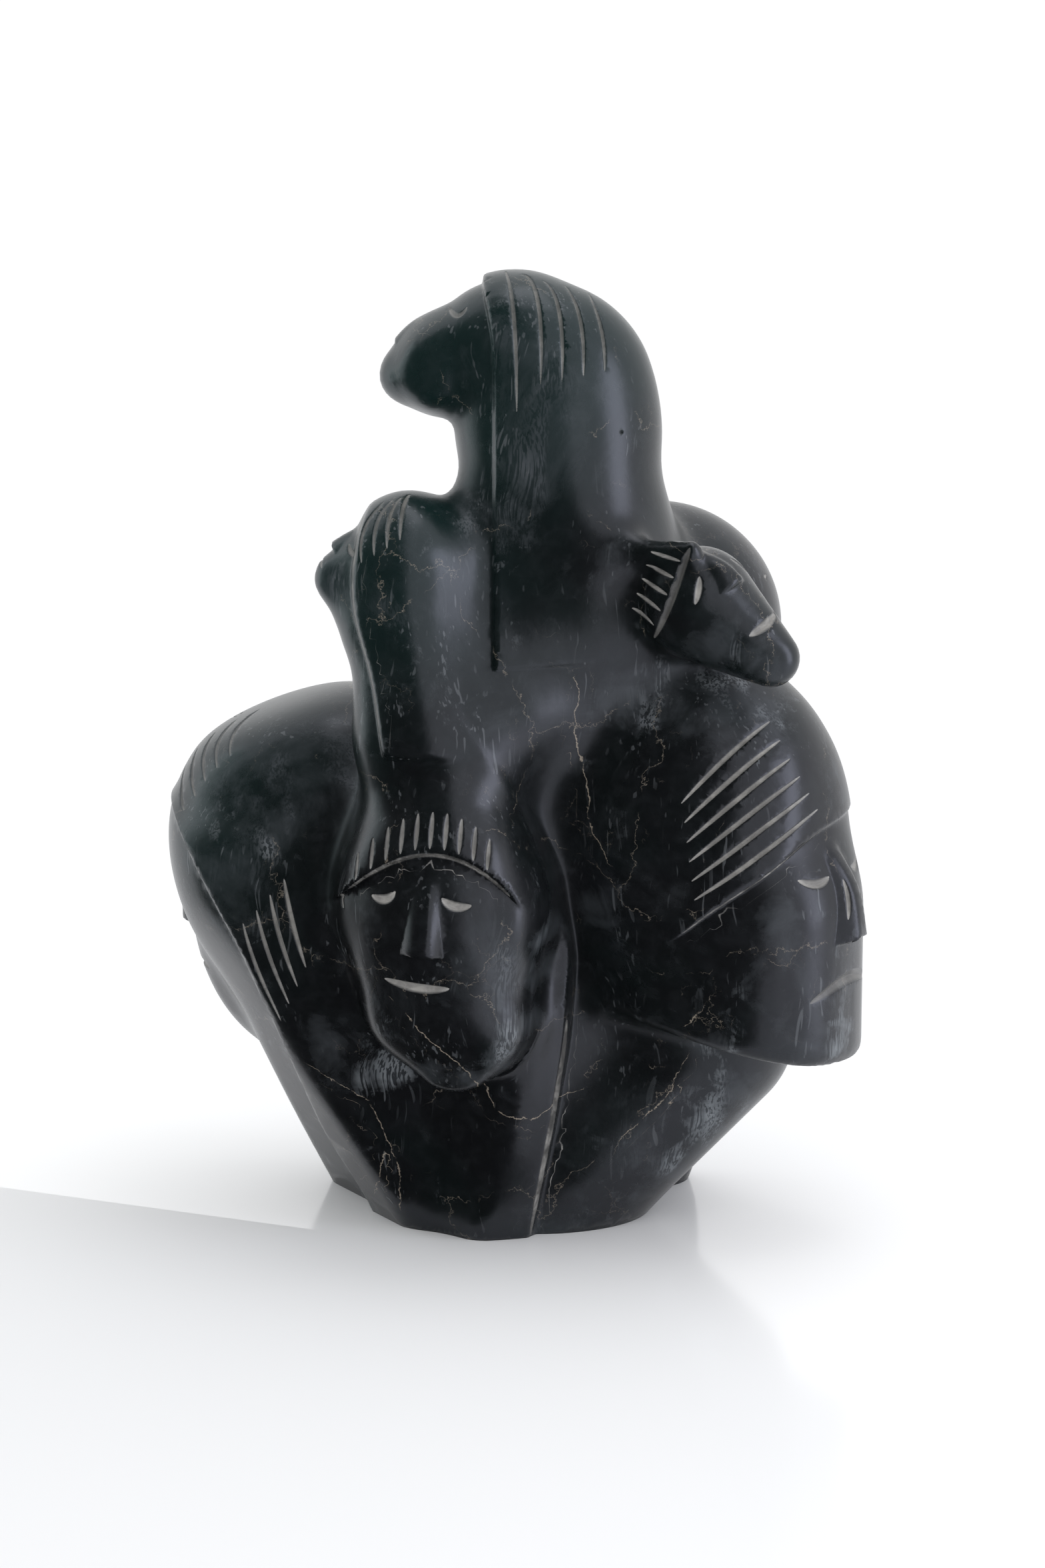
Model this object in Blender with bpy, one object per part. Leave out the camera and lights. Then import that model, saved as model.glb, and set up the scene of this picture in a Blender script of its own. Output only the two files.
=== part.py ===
"""A stone carving of seven heads that grow out of one block.

The whole carving is one piece of dark green stone, so it is one object. Its form is a
blend of simple swells (eggs, limbs and one squared post), one table for each part of the
carving. The hair stands a few millimetres proud of the faces, which have wedge noses.
The stone is first blocked out in cubes, then worked back to that form, thinned to large
facets, sawn flat below and cut with V grooves for the hair, the eyes and the mouths.

All places and sizes of the figure are drawn in units: one unit is a 460th of its height.
X is to the viewer's right, Y is away from the viewer and Z is up. The stone is worked in
those units and brought to its real size last.
"""
import bpy
import bmesh
import numpy as np
from mathutils import Matrix, Vector
from mathutils.bvhtree import BVHTree

# Driving dimension
CARVING_HEIGHT = 0.46

# Drawing scale
DRAWN_HEIGHT = 460.0
UNIT = CARVING_HEIGHT / DRAWN_HEIGHT

# Working steps, in drawn units
BLOCK = 7.0                # side of the cubes that block out the stone
ROUGH_GRAIN = 5.0          # grid of the first remesh
FINE_EDGE = 2.2            # shortest edge beside a step in the relief
SAW_ALLOWANCE = 10.0       # stone left below the ground line until the base is sawn
SAW_WIDTH = 0.02           # how near the ground line a corner counts as on it
FACETS = 4500              # triangles that the thinned stone keeps
REACH = 400.0              # where the sight lines for the grooves start

# Relief, in drawn units
HAIR_STEP = 4.0            # hair above face and neck
LOW_LEFT_HAIR_STEP = 6.0
FRINGE_STEP = 3.0
STEP_BEVEL = 1.3           # half the width of a step's slope
ROBE_BEVEL = 3.0
LINE_BEND = 7.0            # how far from its corners a drawn line bends
GROOVE_LIFT = 2.0          # how far a groove's cutter stands out of the stone
SPINDLE_TIP = 0.3          # how far its two points stand out
SPINDLE_LIP = (1.3, 0.6)   # its width above the stone as a share, and how high that is

# The blocks that the stone is first stacked from fill this box, in drawn units
BLOCKS_FROM = (-190.0, -140.0, -24.0)
BLOCKS_TO = (190.0, 150.0, 474.0)

STONE_COLOUR = (0.030, 0.040, 0.041, 1.0)
STONE_ROUGHNESS = 0.38


def facing(yaw, pitch, roll):
    """Axes of a head: to its side, forward out of the face, and up to the crown.

    Yaw 0 looks at the viewer and grows towards +X; pitch looks up; roll leans the crown.
    """
    yaw, pitch, roll = np.radians((yaw, pitch, roll))
    forward = np.array((np.sin(yaw) * np.cos(pitch), -np.cos(yaw) * np.cos(pitch), np.sin(pitch)))
    level = np.array((np.cos(yaw), np.sin(yaw), 0.0))
    upright = np.cross(forward, level)
    side = level * np.cos(roll) - upright * np.sin(roll)
    up = upright * np.cos(roll) + level * np.sin(roll)
    return np.stack((side, forward, up))


# Each face: the point between its brows and the foot of its nose, and where it looks
FACES = {
    "top": ((-44, 14, 434), facing(-97, 42, 0)),
    "upper_left": ((-86, -25, 336), facing(-112, 30, 0)),
    "upper_right": ((100, -60, 324), facing(66, 40, 0)),
    "upper_back": ((118, 92, 290), facing(142, 10, 0)),
    "low_middle": ((-44, -104, 174), facing(-2, 0, 4)),
    "low_right": ((158, -50.3, 168), facing(61, 0, 0)),
    "low_left": ((-166, 62, 145), facing(-98, -8, 0)),
}

# Sight lines that are not tied to a face
VIEWS = {
    "front": ((0, 0, 0), np.array(((1.0, 0, 0), (0, -1.0, 0), (0, 0, 1.0)))),
    "back": ((0, 0, 0), np.array(((1.0, 0, 0), (0, 1.0, 0), (0, 0, 1.0)))),
    "crown": ((-150, 14, 228), facing(-60, 40, 0)),
}

# Each nose: its face, brow and foot heights, half widths there, and how far it stands out
NOSES = (
    ("top", 4, -14, 4, 8, 1.2),
    ("upper_left", 12, 0, 3, 7, 3.0),
    ("upper_right", 22, 0, 3, 7, 3.4),
    ("upper_back", 22, -10, 4, 10, 4.5),
    ("low_middle", 20, -16, 5, 9.5, 8),
    ("low_right", 32, -16, 6, 12.5, 8),
    ("low_left", 26, -12, 5, 10, 5),
)
NOSE_ROUNDING = 1.6        # 1 is a roof, 2 a round back
NOSE_FOOT_SLOPE = 2.4      # height over which the foot of a nose is cut back

# Lines over the front of the stone: places across (x) at heights (z)
TOP_HAIRLINE = ((270, 425, 440, 452, 466), (-11.5, -11.5, -13, -16, -18.5))
LOW_LEFT_HAIRLINE = ((-20, 8, 42, 96, 145, 195, 215), (-66, -76, -96, -115, -134, -164, -178))
UPPER_LEFT_HAIRLINE = ((240, 248, 281, 307, 324, 351, 364), (-62, -63, -68, -76, -78, -74, -66))
ROBE_EDGE = ((0, 33, 60, 98, 144, 186, 230, 280), (6, 12, 17, 23, 26, 19, -3, -36))
ROBE_STEP = ((0, 60, 110, 135, 170, 230, 280), (17, 14, 10, 5, 2, 1, 0))
FACET_EDGE = ((0, 34, 65, 102, 125), (-25, -12, 0, 12, 20))

# Line over the low right face: its height (z) at places across (x)
LOW_RIGHT_HAIRLINE = ((60, 77, 90, 105, 121, 135, 147, 162), (146, 160, 172, 182, 192, 202, 206, 208))

# The fringe over the low middle face: its arch's top across and up, its fall and half width
FRINGE_ARCH = (4.0, 31.0, 23.0, 40.0)

# Fans of hair strokes: view, count, first stroke, last stroke, half width, depth.
# A stroke is a start, a middle and an end, each across and up.
FANS = (
    ("front", 1, ((-9, 462), (-3, 450), (-1, 401)), ((-9, 462), (-3, 450), (-1, 401)), 1.0, 2.0),
    ("front", 4, ((1, 461), (9, 450), (10, 414)), ((32, 453), (38.5, 438), (40, 419)), 1.0, 2.0),
    ("back", 5, ((-9, 462), (-2, 446), (-1, 401)), ((31, 453), (39, 436), (40, 419)), 1.0, 2.0),
    ("front", 4, ((-63, 359), (-72, 348), (-73, 334)), ((-51, 362), (-54, 357), (-55, 345)), 1.0, 2.0),
    ("front", 5, ((61.5, 338.5), (68, 337), (74.5, 335.5)), ((53, 311), (58, 308.5), (62.5, 305)), 1.0, 1.9),
    ("front", 6, ((118, 256), (98, 243), (76, 222)), ((141, 215), (112, 198), (82, 177)), 1.15, 2.2),
    ("front", 4, ((-111, 181), (-107, 161), (-101, 139)), ((-131, 158), (-125, 136), (-114, 108)), 1.15, 2.2),
    ("crown", 5, ((-5, 33), (4, 19), (21, 3)), ((-21, -9), (-5, -23), (7, -30)), 1.0, 2.0),
    ("back", 5, ((-129, 249), (-136, 241), (-139, 226)), ((-166, 214), (-165, 207), (-162, 199)), 1.0, 2.0),
    ("back", 6, ((118, 256), (98, 243), (76, 222)), ((141, 215), (112, 198), (82, 177)), 1.15, 2.2),
    ("back", 5, ((60, 336), (48, 322), (40, 300)), ((92, 334), (84, 318), (76, 296)), 1.1, 2.0),
)

# The fringe's own short strokes: count, first and last place across, how long at the
# ends and how much longer in the middle, half width, depth
FRINGE_STROKES = (10, -33.5, 27.5, 11, 4, 1.1, 1.8)
FRINGE_GAP = 3.5            # between the hairline and their feet

# Eyes and mouths: face or view, start, middle, end (across and up), half width, depth
FEATURES = (
    ("low_middle", (-25, 8), (-19, 8), (-14.5, 12), 2.4, 2.4),
    ("low_middle", (8, 12), (14, 9), (21, 9.5), 2.4, 2.4),
    ("low_middle", (-16.5, -31), (-1, -32.5), (13.5, -31.5), 2.6, 2.6),
    ("low_middle", (-39.5, 5), (-40, 1), (-39, -3), 1.1, 1.4),
    ("low_right", (-28, 17), (-20, 14.5), (-11, 16), 2.4, 2.6),
    ("low_right", (13, 16), (21, 14.5), (29, 17), 2.4, 2.6),
    ("low_right", (-28, -41.5), (0, -35), (28, -41.5), 3.2, 3.2),
    ("low_right", (-5.5, 14), (-6.5, 5), (-8, -4), 1.2, 1.6),
    ("front", (83.5, 328.5), (83, 323), (81.5, 317), 1.6, 2.0),
    ("front", (120, 310), (114, 306), (107, 302), 2.3, 2.6),
    ("upper_right", (11, 12), (15, 7.5), (19, 3), 1.6, 2.0),
    ("front", (-33.5, 446), (-29, 443), (-24.5, 446.5), 1.6, 1.6),
    ("back", (-33.5, 446), (-29, 443), (-24.5, 446.5), 1.6, 1.6),
    ("upper_left", (-15, 8), (-12, 7), (-8, 8), 1.4, 1.6),
    ("upper_left", (8, 8), (12, 7), (15, 8), 1.4, 1.6),
    ("upper_left", (-9, -9), (0, -8), (9, -9), 1.4, 1.8),
    ("upper_back", (-24, 8), (-18, 7), (-12, 9), 2.2, 2.2),
    ("upper_back", (12, 9), (18, 7), (24, 8), 2.2, 2.2),
    ("upper_back", (-13, -22), (0, -21), (13, -22), 2.2, 2.4),
    ("low_left", (-28, 14), (-21, 13), (-14, 15), 2.4, 2.4),
    ("low_left", (14, 15), (21, 13), (28, 14), 2.4, 2.4),
    ("low_left", (-17, -34), (0, -32), (17, -34), 2.4, 2.6),
)

# The cut that bevels the hair beside the upper right face
SIDE_LOCK_CUT = ((79, 342), (72, 323), (63, 298))
SIDE_LOCK_SIZE = (2.3, 2.6)


def blend(a, b, radius):
    """Smooth union of two forms."""
    reach = np.maximum(radius - np.abs(a - b), 0.0) / radius
    return np.minimum(a, b) - reach * reach * radius * 0.25


def trim(a, b, radius):
    """Smooth intersection of two forms."""
    return -blend(-a, -b, radius)


def ramp(x, low, high):
    """0 below low, 1 above high and an even S between them."""
    t = np.clip((x - low) / (high - low), 0.0, 1.0)
    return t * t * (3.0 - 2.0 * t)


def drawn(line, at):
    """A line through its points, with its corners rounded."""
    return sum(np.interp(at + k * LINE_BEND, *line) for k in (-1.0, -0.5, 0.0, 0.5, 1.0)) / 5


def egg(p, centre, radii):
    """Distance, near the surface, to an upright egg."""
    q = p - np.array(centre, float)
    r = np.array(radii, float)
    near = np.sqrt(((q / r) ** 2).sum(1))
    slope = np.sqrt(((q / r ** 2) ** 2).sum(1))
    return near * (near - 1.0) / np.maximum(slope, 1e-9)


def post(p, centre, axes, radii, power):
    """Distance to an upright post whose plan is a squared-off ellipse along axes."""
    q = (p - np.array((centre[0], centre[1], 0.0))) @ axes[:2].T
    r = np.array(radii, float)
    a = np.abs(q / r) + 1e-9
    near = (a ** power).sum(1) ** (1.0 / power)
    slope = (a ** (power - 1.0)) / r * (near ** (1.0 - power))[:, None]
    return (near - 1.0) / np.maximum(np.sqrt((slope ** 2).sum(1)), 1e-9)


def limb(p, start, end, thin=1.0, thin_along=(0, 1, 0)):
    """Distance to a tapered limb between two balls (x, y, z, radius), thinned one way."""
    a = np.array(start[:3], float)
    b = np.array(end[:3], float)
    way = np.array(thin_along, float)
    way /= np.linalg.norm(way)
    middle = (a + b) / 2
    widen = (1.0 / thin - 1.0)
    q = p + ((p - middle) @ way)[:, None] * way * widen
    a = a + ((a - middle) @ way) * way * widen
    b = b + ((b - middle) @ way) * way * widen
    axis = b - a
    length2 = axis @ axis
    fall = start[3] - end[3]
    slant2 = length2 - fall * fall
    pa = q - a
    along = pa @ axis
    beyond = along - length2
    off = pa * length2 - along[:, None] * axis
    off2 = (off * off).sum(1)
    split = np.sign(fall) * fall * fall * off2
    side = (np.sqrt(off2 * slant2 / length2) + along * fall) / length2 - start[3]
    at_end = np.sign(beyond) * slant2 * beyond * beyond * length2 > split
    at_start = np.sign(along) * slant2 * along * along * length2 < split
    end_cap = np.sqrt(off2 + beyond * beyond * length2) / length2 - end[3]
    start_cap = np.sqrt(off2 + along * along * length2) / length2 - start[3]
    return np.where(at_end, end_cap, np.where(at_start, start_cap, side))


def flat(p, point, normal):
    """Distance past a plane."""
    n = np.array(normal, float)
    return (p - np.array(point, float)) @ (n / np.linalg.norm(n))


# The swells of each part, in the order they join. The first number is how softly a swell
# joins those before it. An egg has a centre and radii; a limb has two balls, each a
# centre with a radius, and may be thinned.
TRUNK = (
    (0, egg, (-16, 24, 110), (90, 66, 150)),
    (40, egg, (20, 10, 265), (66, 54, 110)),
    (26, limb, (14, 8, 8, 41), (90, 8, 92, 45)),
    (26, egg, (54, 56, 24), (36, 22, 48)),
)
LOW_LEFT_HEAD = (
    (0, egg, (-91, 34, 184), (80.5, 74, 75)),
    (30, limb, (-50, 32, 8, 49), (-84, 18, 150, 66)),
)
LOW_LEFT_FACE = (12, egg, (-104, 60, 147), (59, 46, 84))
LOW_LEFT_CROWN_CUT = (10, (-125, 34, 247), (-0.34, 0.0, 0.94))
LOW_RIGHT_HAIR = ((0, egg, (86, -6, 190), (73, 64, 95)),)
LOW_RIGHT_FACE = ((99, -17), (53, 66), 2.45)
LOW_RIGHT_JAW_CUT = (9, (153, -53, 90), (-0.21, 0.0, -1.0))
LOW_RIGHT_BROW_CUT = (40, (150, -50, 200), (0, 0, 1.0))
UPPER_RIGHT_HEAD = (
    (0, limb, (117.5, -56, 289, 13.5), (84, -43, 312.5, 27), 0.92, (0.2, -0.97, 0.1)),
)
UPPER_RIGHT_CHEEK_CUT = (8, (95, -77, 300), (0.12, -0.97, -0.2))
UPPER_RIGHT_HOOD = (9, limb, (44, -34, 335, 6), (80, -58, 340, 4.5))
UPPER_BACK_HEAD = (22, egg, (67, 57, 283), (61.5, 54, 61))
TOP_HEAD = (
    (0, egg, (17.5, 10, 401), (47.5, 42, 52)),
    (16, limb, (20, 8, 375, 46), (30, 0, 300, 46)),
    (10, egg, (-1, 11, 426), (29, 36, 32)),
)
TOP_FACE = (
    (0, limb, (-53, 14, 412, 13.2), (-13, 12, 427, 27), 1.22),
    (8, egg, (-35, 13, 417), (24, 27, 25)),
)
UPPER_LEFT_HEAD = (
    (0, limb, (-83, -26, 323, 11.5), (-50, -24, 330, 28.5), 0.95, (0.3, 1, 0)),
    (8, limb, (-84, -26, 319, 10), (-62, -30, 305, 22)),
    (16, limb, (-52, -34, 322, 26), (-44, -44, 255, 34)),
)
BREAST = (22, limb, (-16, -8, 340, 20), (-10, -32, 262, 34))
LOW_MIDDLE_HEAD = (
    (0, limb, (-36, -57, 172, 47), (-36, -63, 128, 33)),
    (10, limb, (-36, -63, 128, 33), (-34, -75, 99, 13)),
    (14, limb, (-36, -57, 174, 46), (-36, -45, 232, 34)),
)
LEFT_SIDE_CUT = (5, (-77, 22, 0), (-0.74, -0.47, -0.48))


def joined(p, swells, form=None):
    """A form with more swells blended on, one after another."""
    for softness, shape, *sizes in swells:
        fresh = shape(p, *sizes)
        form = fresh if form is None else blend(form, fresh, softness)
    return form


def cut_flat(p, form, cut):
    softness, point, normal = cut
    return trim(form, flat(p, point, normal), softness)


def low_left_head(p):
    d = cut_flat(p, joined(p, LOW_LEFT_HEAD), LOW_LEFT_CROWN_CUT)
    return joined(p, (LOW_LEFT_FACE,), d)


def low_right_head(p):
    place, radii, squareness = LOW_RIGHT_FACE
    face = post(p, place, FACES["low_right"][1], radii, squareness)
    face = cut_flat(p, cut_flat(p, face, LOW_RIGHT_JAW_CUT), LOW_RIGHT_BROW_CUT)
    return blend(joined(p, LOW_RIGHT_HAIR), face, 10)


def upper_right_head(p):
    d = cut_flat(p, joined(p, UPPER_RIGHT_HEAD), UPPER_RIGHT_CHEEK_CUT)
    return joined(p, (UPPER_RIGHT_HOOD,), d)


def plain_form(p):
    """The stone before its relief, as a distance in drawn units."""
    d = joined(p, TRUNK)
    d = blend(d, low_left_head(p), 22)
    d = blend(d, low_right_head(p), 18)
    d = joined(p, (UPPER_BACK_HEAD,), d)
    d = blend(d, upper_right_head(p), 18)
    d = blend(d, blend(joined(p, TOP_HEAD), joined(p, TOP_FACE), 8), 20)
    d = blend(d, joined(p, UPPER_LEFT_HEAD), 12)
    d = blend(joined(p, (BREAST,), d), joined(p, LOW_MIDDLE_HEAD), 20)
    d = cut_flat(p, d, LEFT_SIDE_CUT)
    return trim(d, -p[:, 2] - SAW_ALLOWANCE, 4)


def nose(p, face, brow, foot, brow_half, foot_half, rise):
    """A wedge that grows from the brow to a foot cut square."""
    place, axes = FACES[face]
    side, forward, up = ((p - np.array(place, float)) @ axes.T).T
    fall = np.clip((brow - up) / (brow - foot), 0.0, 1.2)
    half = brow_half + (foot_half - brow_half) * fall
    across = np.clip(1.15 - (np.abs(side) / half) ** NOSE_ROUNDING, 0, 1)
    down = np.clip(fall, 0, 1) ** 0.8 * ramp(up - foot, NOSE_FOOT_SLOPE / -2, NOSE_FOOT_SLOPE / 2)
    return rise * across * down * ramp(forward, -16, -8)


def fringe_line(side):
    """Height of the low middle face's hairline, an arch across the brow."""
    middle, height, fall, half_width = FRINGE_ARCH
    return height - fall * ((side - middle) / half_width) ** 2


def step(past, rise, fade_from, fade_to):
    """A bevelled step at past = 0 that dies away further on."""
    return rise * ramp(past, -STEP_BEVEL, STEP_BEVEL) * (1 - ramp(past, fade_from, fade_to))


def top_hair(p):
    x, y, z = p.T
    hair = step(x - drawn(TOP_HAIRLINE, z), HAIR_STEP, 20, 70)
    return hair * ramp(z, 283, 287) * (0.5 + 0.5 * ramp(z, 425, 450))


def low_left_hair(p):
    x, y, z = p.T
    hair = step(x - drawn(LOW_LEFT_HAIRLINE, z), LOW_LEFT_HAIR_STEP, 25, 70)
    return hair * (1 - ramp(z, 188, 212)) * ramp(-x, 20, 60)


def upper_left_hair(p):
    x, y, z = p.T
    hair = step(x - drawn(UPPER_LEFT_HAIRLINE, z), HAIR_STEP, 12, 45)
    return hair * ramp(z, 244, 250) * ramp(-y, -5, 20) * ramp(-x, 5, 30)


def low_right_hair(p):
    x, y, z = p.T
    hair = step(z - drawn(LOW_RIGHT_HAIRLINE, x), HAIR_STEP, 20, 70)
    return hair * ramp(x, 62, 105) * (1 - 0.6 * ramp(x, 125, 148)) * ramp(-y, -20, 10)


def robe(p):
    """The robe's edge over the front, and the flat facet below it."""
    x, y, z = p.T
    past = drawn(ROBE_EDGE, z) - x
    edge = drawn(ROBE_STEP, z) * (1 - ramp(past, 20, 60))
    facet = 0.40 * np.clip(x - drawn(FACET_EDGE, z), 0, 40) * (1 - ramp(z, 100, 128))
    return (edge - facet) * ramp(past, -ROBE_BEVEL, ROBE_BEVEL) * ramp(-y, -25, 5)


def fringe(p):
    """The hair above the low middle face stands out and its brow sinks in."""
    place, axes = FACES["low_middle"]
    side, _, up = ((p - np.array(place, float)) @ axes.T).T
    over = up - fringe_line(side)
    hair = step(over, FRINGE_STEP, 10, 40) * (1 - ramp(np.abs(side), 30, 48))
    brow = step(-over, FRINGE_STEP, 5, 50) * (1 - ramp(np.abs(side), 30, 46))
    return (hair - brow) * ramp(-p[:, 1], -25, 5)


def relief(p):
    """How far the hair, the robe and the noses stand out of the plain form."""
    rise = top_hair(p) + low_left_hair(p) + upper_left_hair(p) + low_right_hair(p)
    rise += robe(p) + fringe(p)
    for values in NOSES:
        rise += nose(p, *values)
    return rise


def carved_form(p):
    return trim(plain_form(p) - relief(p), -p[:, 2] - SAW_ALLOWANCE, 4)


def settle(points, form, rounds):
    """Move points along the form's slope until they lie on its surface."""
    probe = 0.4
    for _ in range(rounds):
        here = form(points)
        slope = np.stack([form(points + probe * np.eye(3)[k]) - here for k in range(3)], 1) / probe
        steep = np.maximum((slope ** 2).sum(1), 0.25)
        points = points - np.clip(here / steep, -4.0, 4.0)[:, None] * slope
    return points


def mesh_arrays(mesh):
    """A mesh's points and its triangles."""
    mesh.calc_loop_triangles()
    points = np.empty(len(mesh.vertices) * 3)
    mesh.vertices.foreach_get("co", points)
    triangles = np.empty(len(mesh.loop_triangles) * 3, np.int32)
    mesh.loop_triangles.foreach_get("vertices", triangles)
    return points.reshape(-1, 3), triangles.reshape(-1, 3)


def new_object(name, points, faces):
    mesh = bpy.data.meshes.new(name)
    mesh.from_pydata(np.asarray(points).tolist(), [], np.asarray(faces).tolist())
    mesh.validate()
    shape = bpy.data.objects.new(name, mesh)
    bpy.context.scene.collection.objects.link(shape)
    return shape


def blocked_out():
    """The stone as the outer squares of a stack of cubes."""
    low = np.array(BLOCKS_FROM)
    count = np.ceil((np.array(BLOCKS_TO) - low) / BLOCK).astype(int)
    index = np.stack(np.meshgrid(*[np.arange(n) for n in count], indexing="ij"), -1)
    inside = (plain_form(low + BLOCK * (index.reshape(-1, 3) + 0.5)) < 0).reshape(count)
    squares = []
    for axis in range(3):
        first, second = np.roll(np.arange(3), -axis)[1:]
        rest = np.moveaxis(inside, axis, 0)
        for out in (0, 1):
            near = rest[1:] & ~rest[:-1] if out == 0 else rest[:-1] & ~rest[1:]
            cell = np.argwhere(near)
            place = np.empty_like(cell)
            place[:, 0] = cell[:, 0] + 1
            place[:, 1:] = cell[:, 1:]
            order = [axis] + [k for k in range(3) if k != axis]
            corner = np.empty_like(place)
            corner[:, order] = place
            step_one = np.eye(3, dtype=int)[first]
            step_two = np.eye(3, dtype=int)[second]
            ring = [corner, corner + step_one, corner + step_one + step_two, corner + step_two]
            squares.append(np.stack(ring if out else ring[::-1], 1))
    corners = np.concatenate(squares).reshape(-1, 3)
    points, index = np.unique(corners, axis=0, return_inverse=True)
    return new_object("blocked_out", low + BLOCK * points, index.reshape(-1, 4))


def evaluated(shape):
    graph = bpy.context.evaluated_depsgraph_get()
    return bpy.data.meshes.new_from_object(shape.evaluated_get(graph))


def roughed_out():
    """Points and triangles of the plain form, evenly spread."""
    blocks = blocked_out()
    remesh = blocks.modifiers.new("even grid", "REMESH")
    remesh.mode = "VOXEL"
    remesh.voxel_size = ROUGH_GRAIN
    points, triangles = mesh_arrays(evaluated(blocks))
    bpy.data.objects.remove(blocks)
    points = settle(points, plain_form, 6)
    return points, triangles


def split_edges(points, triangles, wants_split):
    """Halve the edges that wants_split picks and fill each triangle to match."""
    edges = np.sort(triangles[:, [[0, 1], [1, 2], [2, 0]]].reshape(-1, 2), 1)
    unique, back = np.unique(edges, axis=0, return_inverse=True)
    back = back.reshape(-1, 3)
    chosen = wants_split(points[unique[:, 0]], points[unique[:, 1]])
    middle = np.full(len(unique), -1)
    middle[chosen] = len(points) + np.arange(chosen.sum())
    fresh = (points[unique[chosen, 0]] + points[unique[chosen, 1]]) / 2
    points = np.concatenate((points, fresh))
    mids = middle[back]
    done = [triangles[(mids < 0).all(1)]]
    for turn in range(3):
        a, b, c = np.roll(triangles, -turn, 1).T
        ab, bc, ca = np.roll(mids, -turn, 1).T
        one = (ab >= 0) & (bc < 0) & (ca < 0)
        done += [np.stack(t, 1)[one] for t in ((a, ab, c), (ab, b, c))]
        two = (ab >= 0) & (bc >= 0) & (ca < 0)
        done += [np.stack(t, 1)[two] for t in ((ab, b, bc), (a, ab, bc), (a, bc, c))]
    a, b, c = triangles.T
    ab, bc, ca = mids.T
    three = (mids >= 0).all(1)
    done += [np.stack(t, 1)[three] for t in ((a, ab, ca), (ab, b, bc), (ca, bc, c), (ab, bc, ca))]
    return points, np.concatenate(done)


def crosses_step(a, b):
    """Edges that run over a step in the relief and are still long."""
    length = np.linalg.norm(a - b, axis=1)
    middle = (a + b) / 2
    bow = np.abs(relief(middle) - (relief(a) + relief(b)) / 2)
    bend = np.maximum(np.abs(relief(a) - relief(b)), bow * 3)
    return (bend > 0.8) & (length > FINE_EDGE)


def carved():
    """Points and triangles of the carved form before it is thinned."""
    points, triangles = roughed_out()
    for _ in range(3):
        points, triangles = split_edges(points, triangles, crosses_step)
        points = settle(points, plain_form, 1)
    return settle(points, carved_form, 4), triangles


def sawn(mesh):
    """Cut the mesh flat at the ground and close it with one face."""
    shape = bmesh.new()
    shape.from_mesh(mesh)
    everything = shape.verts[:] + shape.edges[:] + shape.faces[:]
    bmesh.ops.bisect_plane(shape, geom=everything, dist=SAW_WIDTH, plane_co=(0, 0, 0),
                           plane_no=(0, 0, -1), clear_outer=True)
    rim = [edge for edge in shape.edges if edge.is_boundary]
    bmesh.ops.contextual_create(shape, geom=rim)
    bmesh.ops.recalc_face_normals(shape, faces=shape.faces)
    shape.to_mesh(mesh)
    shape.free()


def stroke_points(tree, view, start, middle, end, count):
    """Points on the stone along a stroke, seen from a view or a face, with its normals."""
    place, axes = view
    side, forward, up = axes
    found = []
    for t in np.linspace(0.0, 1.0, count):
        weights = ((1 - t) ** 2, 2 * t * (1 - t), t * t)
        bow = 2 * np.array(middle) - (np.array(start) + np.array(end)) / 2
        across, height = np.dot(weights, (start, bow, end))
        eye = np.array(place, float) + across * side + height * up + REACH * forward
        hit, normal, _, _ = tree.ray_cast(Vector(eye), Vector(-forward))
        if hit is not None:
            found.append((np.array(hit), np.array(normal)))
    return found


def spindle(line, half_width, depth):
    """A four-sided cutter with pointed ends along a line of points and normals."""
    places = np.array([place for place, _ in line])
    normals = np.array([normal for _, normal in line])
    along = np.gradient(places, axis=0)
    across = np.cross(along, normals)
    across /= np.linalg.norm(across, axis=1)[:, None]
    last = len(line) - 1
    points = [places[0] + SPINDLE_TIP * normals[0]]
    for k in range(1, last):
        full = np.sin(np.pi * k / last) ** 0.6
        lip = across[k] * half_width * full * SPINDLE_LIP[0]
        points.append(places[k] + lip + SPINDLE_LIP[1] * normals[k])
        points.append(places[k] - depth * full * normals[k])
        points.append(places[k] - lip + SPINDLE_LIP[1] * normals[k])
        points.append(places[k] + GROOVE_LIFT * normals[k])
    points.append(places[last] + SPINDLE_TIP * normals[last])
    faces = []
    for side in range(4):
        other = (side + 1) % 4
        faces.append((0, 1 + other, 1 + side))
        for k in range(last - 2):
            a = 1 + 4 * k
            faces.append((a + side, a + other, a + 4 + other, a + 4 + side))
        a = 1 + 4 * (last - 2)
        faces.append((a + side, a + other, len(points) - 1))
    return points, faces


def grooves():
    """Every groove as view or face, three points, half width, depth and number of points."""
    for view, count, first, last, half_width, depth in FANS:
        for mix in np.linspace(0.0, 1.0, round(count)):
            start, middle, end = np.array(first) * (1 - mix) + np.array(last) * mix
            yield VIEWS[view], start, middle, end, half_width, depth, 7
    count, first, last, length, longer, half_width, depth = FRINGE_STROKES
    for side in np.linspace(first, last, round(count)):
        foot = fringe_line(side) + FRINGE_GAP
        top = foot + length + longer * (1 - (side / first) ** 2)
        yield FACES["low_middle"], (side, foot), (side, (foot + top) / 2), (side, top), half_width, depth, 4
    for face, start, middle, end, half_width, depth in FEATURES:
        yield {**FACES, **VIEWS}[face], start, middle, end, half_width, depth, 5
    yield VIEWS["front"], *SIDE_LOCK_CUT, *SIDE_LOCK_SIZE, 6


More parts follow.
